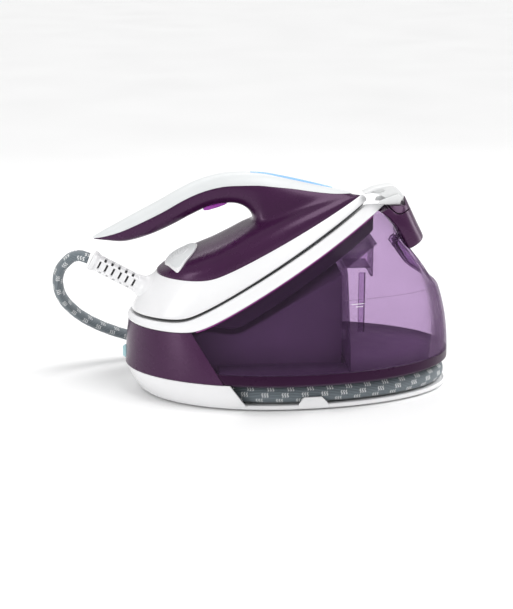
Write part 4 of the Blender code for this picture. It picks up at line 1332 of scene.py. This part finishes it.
def make_skirt():
    outer = [ring(sole_xy, 0.0, sole_z, SKIRT_RISE), ring(waist_xy, -0.35, waist_z)]
    inner = [ring(sole_xy, 2.2, sole_z, SKIRT_RISE), ring(waist_xy, 1.6, waist_z)]
    rings = [ring(sole_xy, 0.5, sole_z, SKIRT_RISE)]
    for u in spaced(0.0, 1.0, 17)[1:-1]:
        rings.append(between(*outer, u, 2.1 * sin(pi * min(u, 0.93)) ** 0.75))
    rings += [outer[1], inner[1], between(*inner, 0.65, 1.6), between(*inner, 0.3, 1.6), inner[0]]
    skirt = hoop("iron_lower_skirt", rings)
    bore(skirt, RELIEF_END, RELIEF_AXIS, 5.0, 84.0, 9.9)
    place(skirt, "white", "iron", "iron_skirt")
    collar = [
        (50.5, 9.0), (51.0, 9.5), (54.0, 9.9), (56.5, 10.8), (58.5, 12.2), (60.0, 13.8), (61.5, 16.0),
        (63.5, 20.0), (66.0, 24.0), (67.0, 9.5),
    ]
    place(turned("relief_collar", RELIEF_END, RELIEF_AXIS, collar, 72), "white", "iron")


def make_strain_relief():
    """A sleeve with rows of slots round it, each row half a slot on from the next, over a dark tube."""
    axis = Vector(RELIEF_AXIS).normalized()
    side = Vector((0, 1, 0))
    up = side.cross(axis).normalized()
    if up.z < 0:
        up = -up
    rings = []
    for step in range(RELIEF_LEVELS + 1):
        at = RELIEF_LENGTH * step / RELIEF_LEVELS
        flare = 1.5 * (1 - smooth_step(3.0, 6.5, at))
        radius = 8.9 + flare - 0.6 * (1 - smooth_step(0.0, 0.9, at))
        level = []
        for turn, spoke in circle(180, side, up):
            row = round(turn / (pi / 3))
            off = abs(turn - row * pi / 3)
            pitch = (at - SLOTS_START - (0.0 if row % 2 else SLOT_PITCH / 2)) / SLOT_PITCH
            wide, tall = (0.25, 36) if row % 3 == 0 else (0.32, 21)
            slot = 0.0 < pitch < 6.0 and pitch % 1.0 < wide and off < radians(tall)
            reach = SLOT_FLOOR if slot else radius
            level.append(Vector(RELIEF_END) + axis * at + spoke * reach)
        rings.append(level)
    sleeve = loft("strain_relief_sleeve", rings, 40.0)
    place(sleeve, "white", "iron", "strain_relief")
    tube = turned("strain_relief_core", RELIEF_END, RELIEF_AXIS, [(2.0, 7.0), (65.0, 7.0)], 48)
    place(tube, "black", "iron")


PANEL = (
    # x, half width
    (-107.4, 5.0), (-104.0, 18.0), (-100.5, 29.5), (-96.0, 38.0), (-93.5, 39.0), (-90.5, 37.5),
    (-86.4, 31.8), (-80.0, 22.0), (-76.0, 11.0), (-74.5, 4.0),
)


def on_panel(name, middle, reach, half, radius):
    """A fine raised oval on the heel panel."""
    spots = [(middle + reach * cos(turn), half * sin(turn)) for turn in spaced(0.0, 2 * pi, 49)]
    return thread(name, [(x, y, crown_height(x, y) + 2.55) for x, y in spots], radius, 8)


def make_heel_panel():
    """A shield that wraps over the iron's heel, with a white rim, an oval and three small ovals in it."""
    def grid(height, trim):
        made = []
        for x in spaced(PANEL[0][0] + trim, PANEL[-1][0] - trim, 41):
            half = max(along(PANEL, x) - 1.3 * trim, 0.8)
            made.append([(x, y, crown_height(x, y) + height) for y in spaced(-half, half, 49)])
        return made

    rim = plate("heel_panel_rim", grid(1.9, 0.0), grid(-0.6, 0.0))
    place(rounded(rim, 0.4, 2, 50.0), "white", "iron", "heel_panel")
    panel = plate("heel_panel_face", grid(2.5, 2.0), grid(0.5, 2.0))
    place(rounded(panel, 0.3, 2, 50.0), "light_grey", "iron")
    place(on_panel("heel_panel_oval", -93.0, 9.5, 14.0, 0.35), "white", "iron")
    for number, middle in enumerate((-98.0, -93.0, -88.0), 1):
        mark = on_panel(f"heel_panel_mark_{number}", middle, 1.5, 6.0, 0.28)
        place(mark, "white", "iron")


def make_trigger():
    outline = [
        (-68.4, 189.0), (-67.2, 187.0), (-63.0, 187.2), (-53.0, 190.0), (-46.0, 192.6), (-42.4, 195.0),
        (-42.2, 200.6), (-46.0, 202.2), (-56.0, 200.4), (-66.5, 197.0),
    ]
    trigger = prism("steam_trigger", outline, -7.0, 7.0)
    rounded(trigger, 0.9, 3, 20.0)
    bore(trigger, (-46.0, -12, 199.0), (0, 1, 0), 0, 24, 1.6)
    place(trigger, "magenta", "trigger", "trigger")


def make_trigger_spring():
    """A small coil between the trigger and the handle, built as one fixed coil; on the real iron it is
    flattened as the trigger is squeezed.
    """
    turns = zip(spaced(0.0, 4 * pi, 41), spaced(200.2, 202.8, 41))
    points = [(-60.0 + 1.6 * cos(turn), 1.6 * sin(turn), z) for turn, z in turns]
    spring = thread("trigger_return_spring", points, 0.4, 8)
    place(spring, "steel", "iron", "trigger_spring")
    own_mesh(spring)


def plate_xy(angle, inset, front_inset=None):
    front = PLATE_FRONT - (inset if front_inset is None else front_inset)
    return boat(angle, front, PLATE_REAR + inset, PLATE_HALF - inset, SOLE_WIDEST)


def make_soleplate():
    """The glazed plate with its rounded edge, and the steam vents along it as thin black discs, painted shade
    for the holes. The plate's dark colour is partly its own dark glaze and partly painted shade for the gap
    under the skirt.
    """
    levels = ((1.2, -1.2), (0.5, -1.05), (0.1, -0.7), (0.0, -0.35), (0.0, 0.5))
    sole = stack("glazed_soleplate_with_gap_shade", [ring(plate_xy, inset, sole_z, rise) for inset, rise in levels])
    place(sole, "soleplate", "iron", "soleplate")
    number = 0
    for inset, count in ((13.0, 17), (26.0, 11)):
        for step in range(count):
            angle = pi * (0.06 + 0.5 * step / (count - 1))
            for side in (-1, 1):
                number += 1
                x, y = plate_xy(side * angle, inset, 2 * inset)
                at = (x, y, sole_z(x) - 1.27)
                # Each vent is a thin black disc on the sole's face, painted shade for the dark steam hole.
                vent = turned(f"steam_vent_shade_{number}", at, SOLE_NORMAL, [(0, 1.9), (0.25, 1.7)], 20)
                place(vent, "black", "iron")


def make_tank_marks():
    """A level line round the tank's near front with two short marks below it, and a magenta line along the
    rim, painted glow of the clear wall's top edge.
    """
    def line(start, end, count, z, sunk):
        return [(x, y - sunk, z) for x, y, z in (skin_at(-a, z) for a in spaced(start, end, count))]

    level = line(0.35, 1.02, 41, LEVEL_Z, -0.03)
    place(thread("tank_level_line", level, 0.14, 6), "core", "tank", slot="light_grey")
    # The rim line is painted glow: magenta along the clear wall's top edge, under the platform.
    rim = []
    for angle in spaced(-2.2, 2.2, 121):
        x, y, _ = skin(angle, 0.997)
        if seam_x(dock_z(x)) + 2 < x < 105:
            rim.append((x, y, dock_z(x) - 0.35))
        elif rim and x >= 105 and angle < 0:
            place(thread("tank_rim_glow_line_near", rim, 0.4, 8), "rim_glow", "tank", slot="lavender")
            rim = []
    place(thread("tank_rim_glow_line_far", rim, 0.4, 8), "rim_glow", "tank", slot="lavender")
    for number, (low, high, drop) in enumerate(((0.93, 1.0, 4.0), (0.945, 0.985, 6.5)), 1):
        mark = line(low, high, 9, LEVEL_Z - drop, 0.05)
        place(thread(f"tank_level_mark_{number}", mark, 0.3, 6), "white", "tank")


def finish_cad_nodes():
    """Gives every CAD node that stays in view its slot's material."""
    slots = {s["node"]: s["material_slot"] for s in frame["record"]["subparts"]}
    for name, node in frame["nodes"].items():
        for slot in node.material_slots:
            slot.link = "OBJECT"
            slot.material = finishes[slots[name]]
        if not node.material_slots:
            node.data.materials.append(finishes[slots[name]])


def main():
    make_camera()
    make_finishes()
    make_hose()
    make_studio()
    builders = (
        make_base, make_rear_body, make_controls, make_core, make_dock_frame, make_platform, make_lock,
        make_tank_base, make_tank_shell, make_tank_inner, make_tank_cap, make_tank_marks, make_skirt,
        make_housing, make_handle_cover, make_light_strip, make_heel_panel, make_strain_relief,
        make_soleplate, make_trigger, make_trigger_spring,
    )
    for build in builders:
        build()
    finish_cad_nodes()


main()
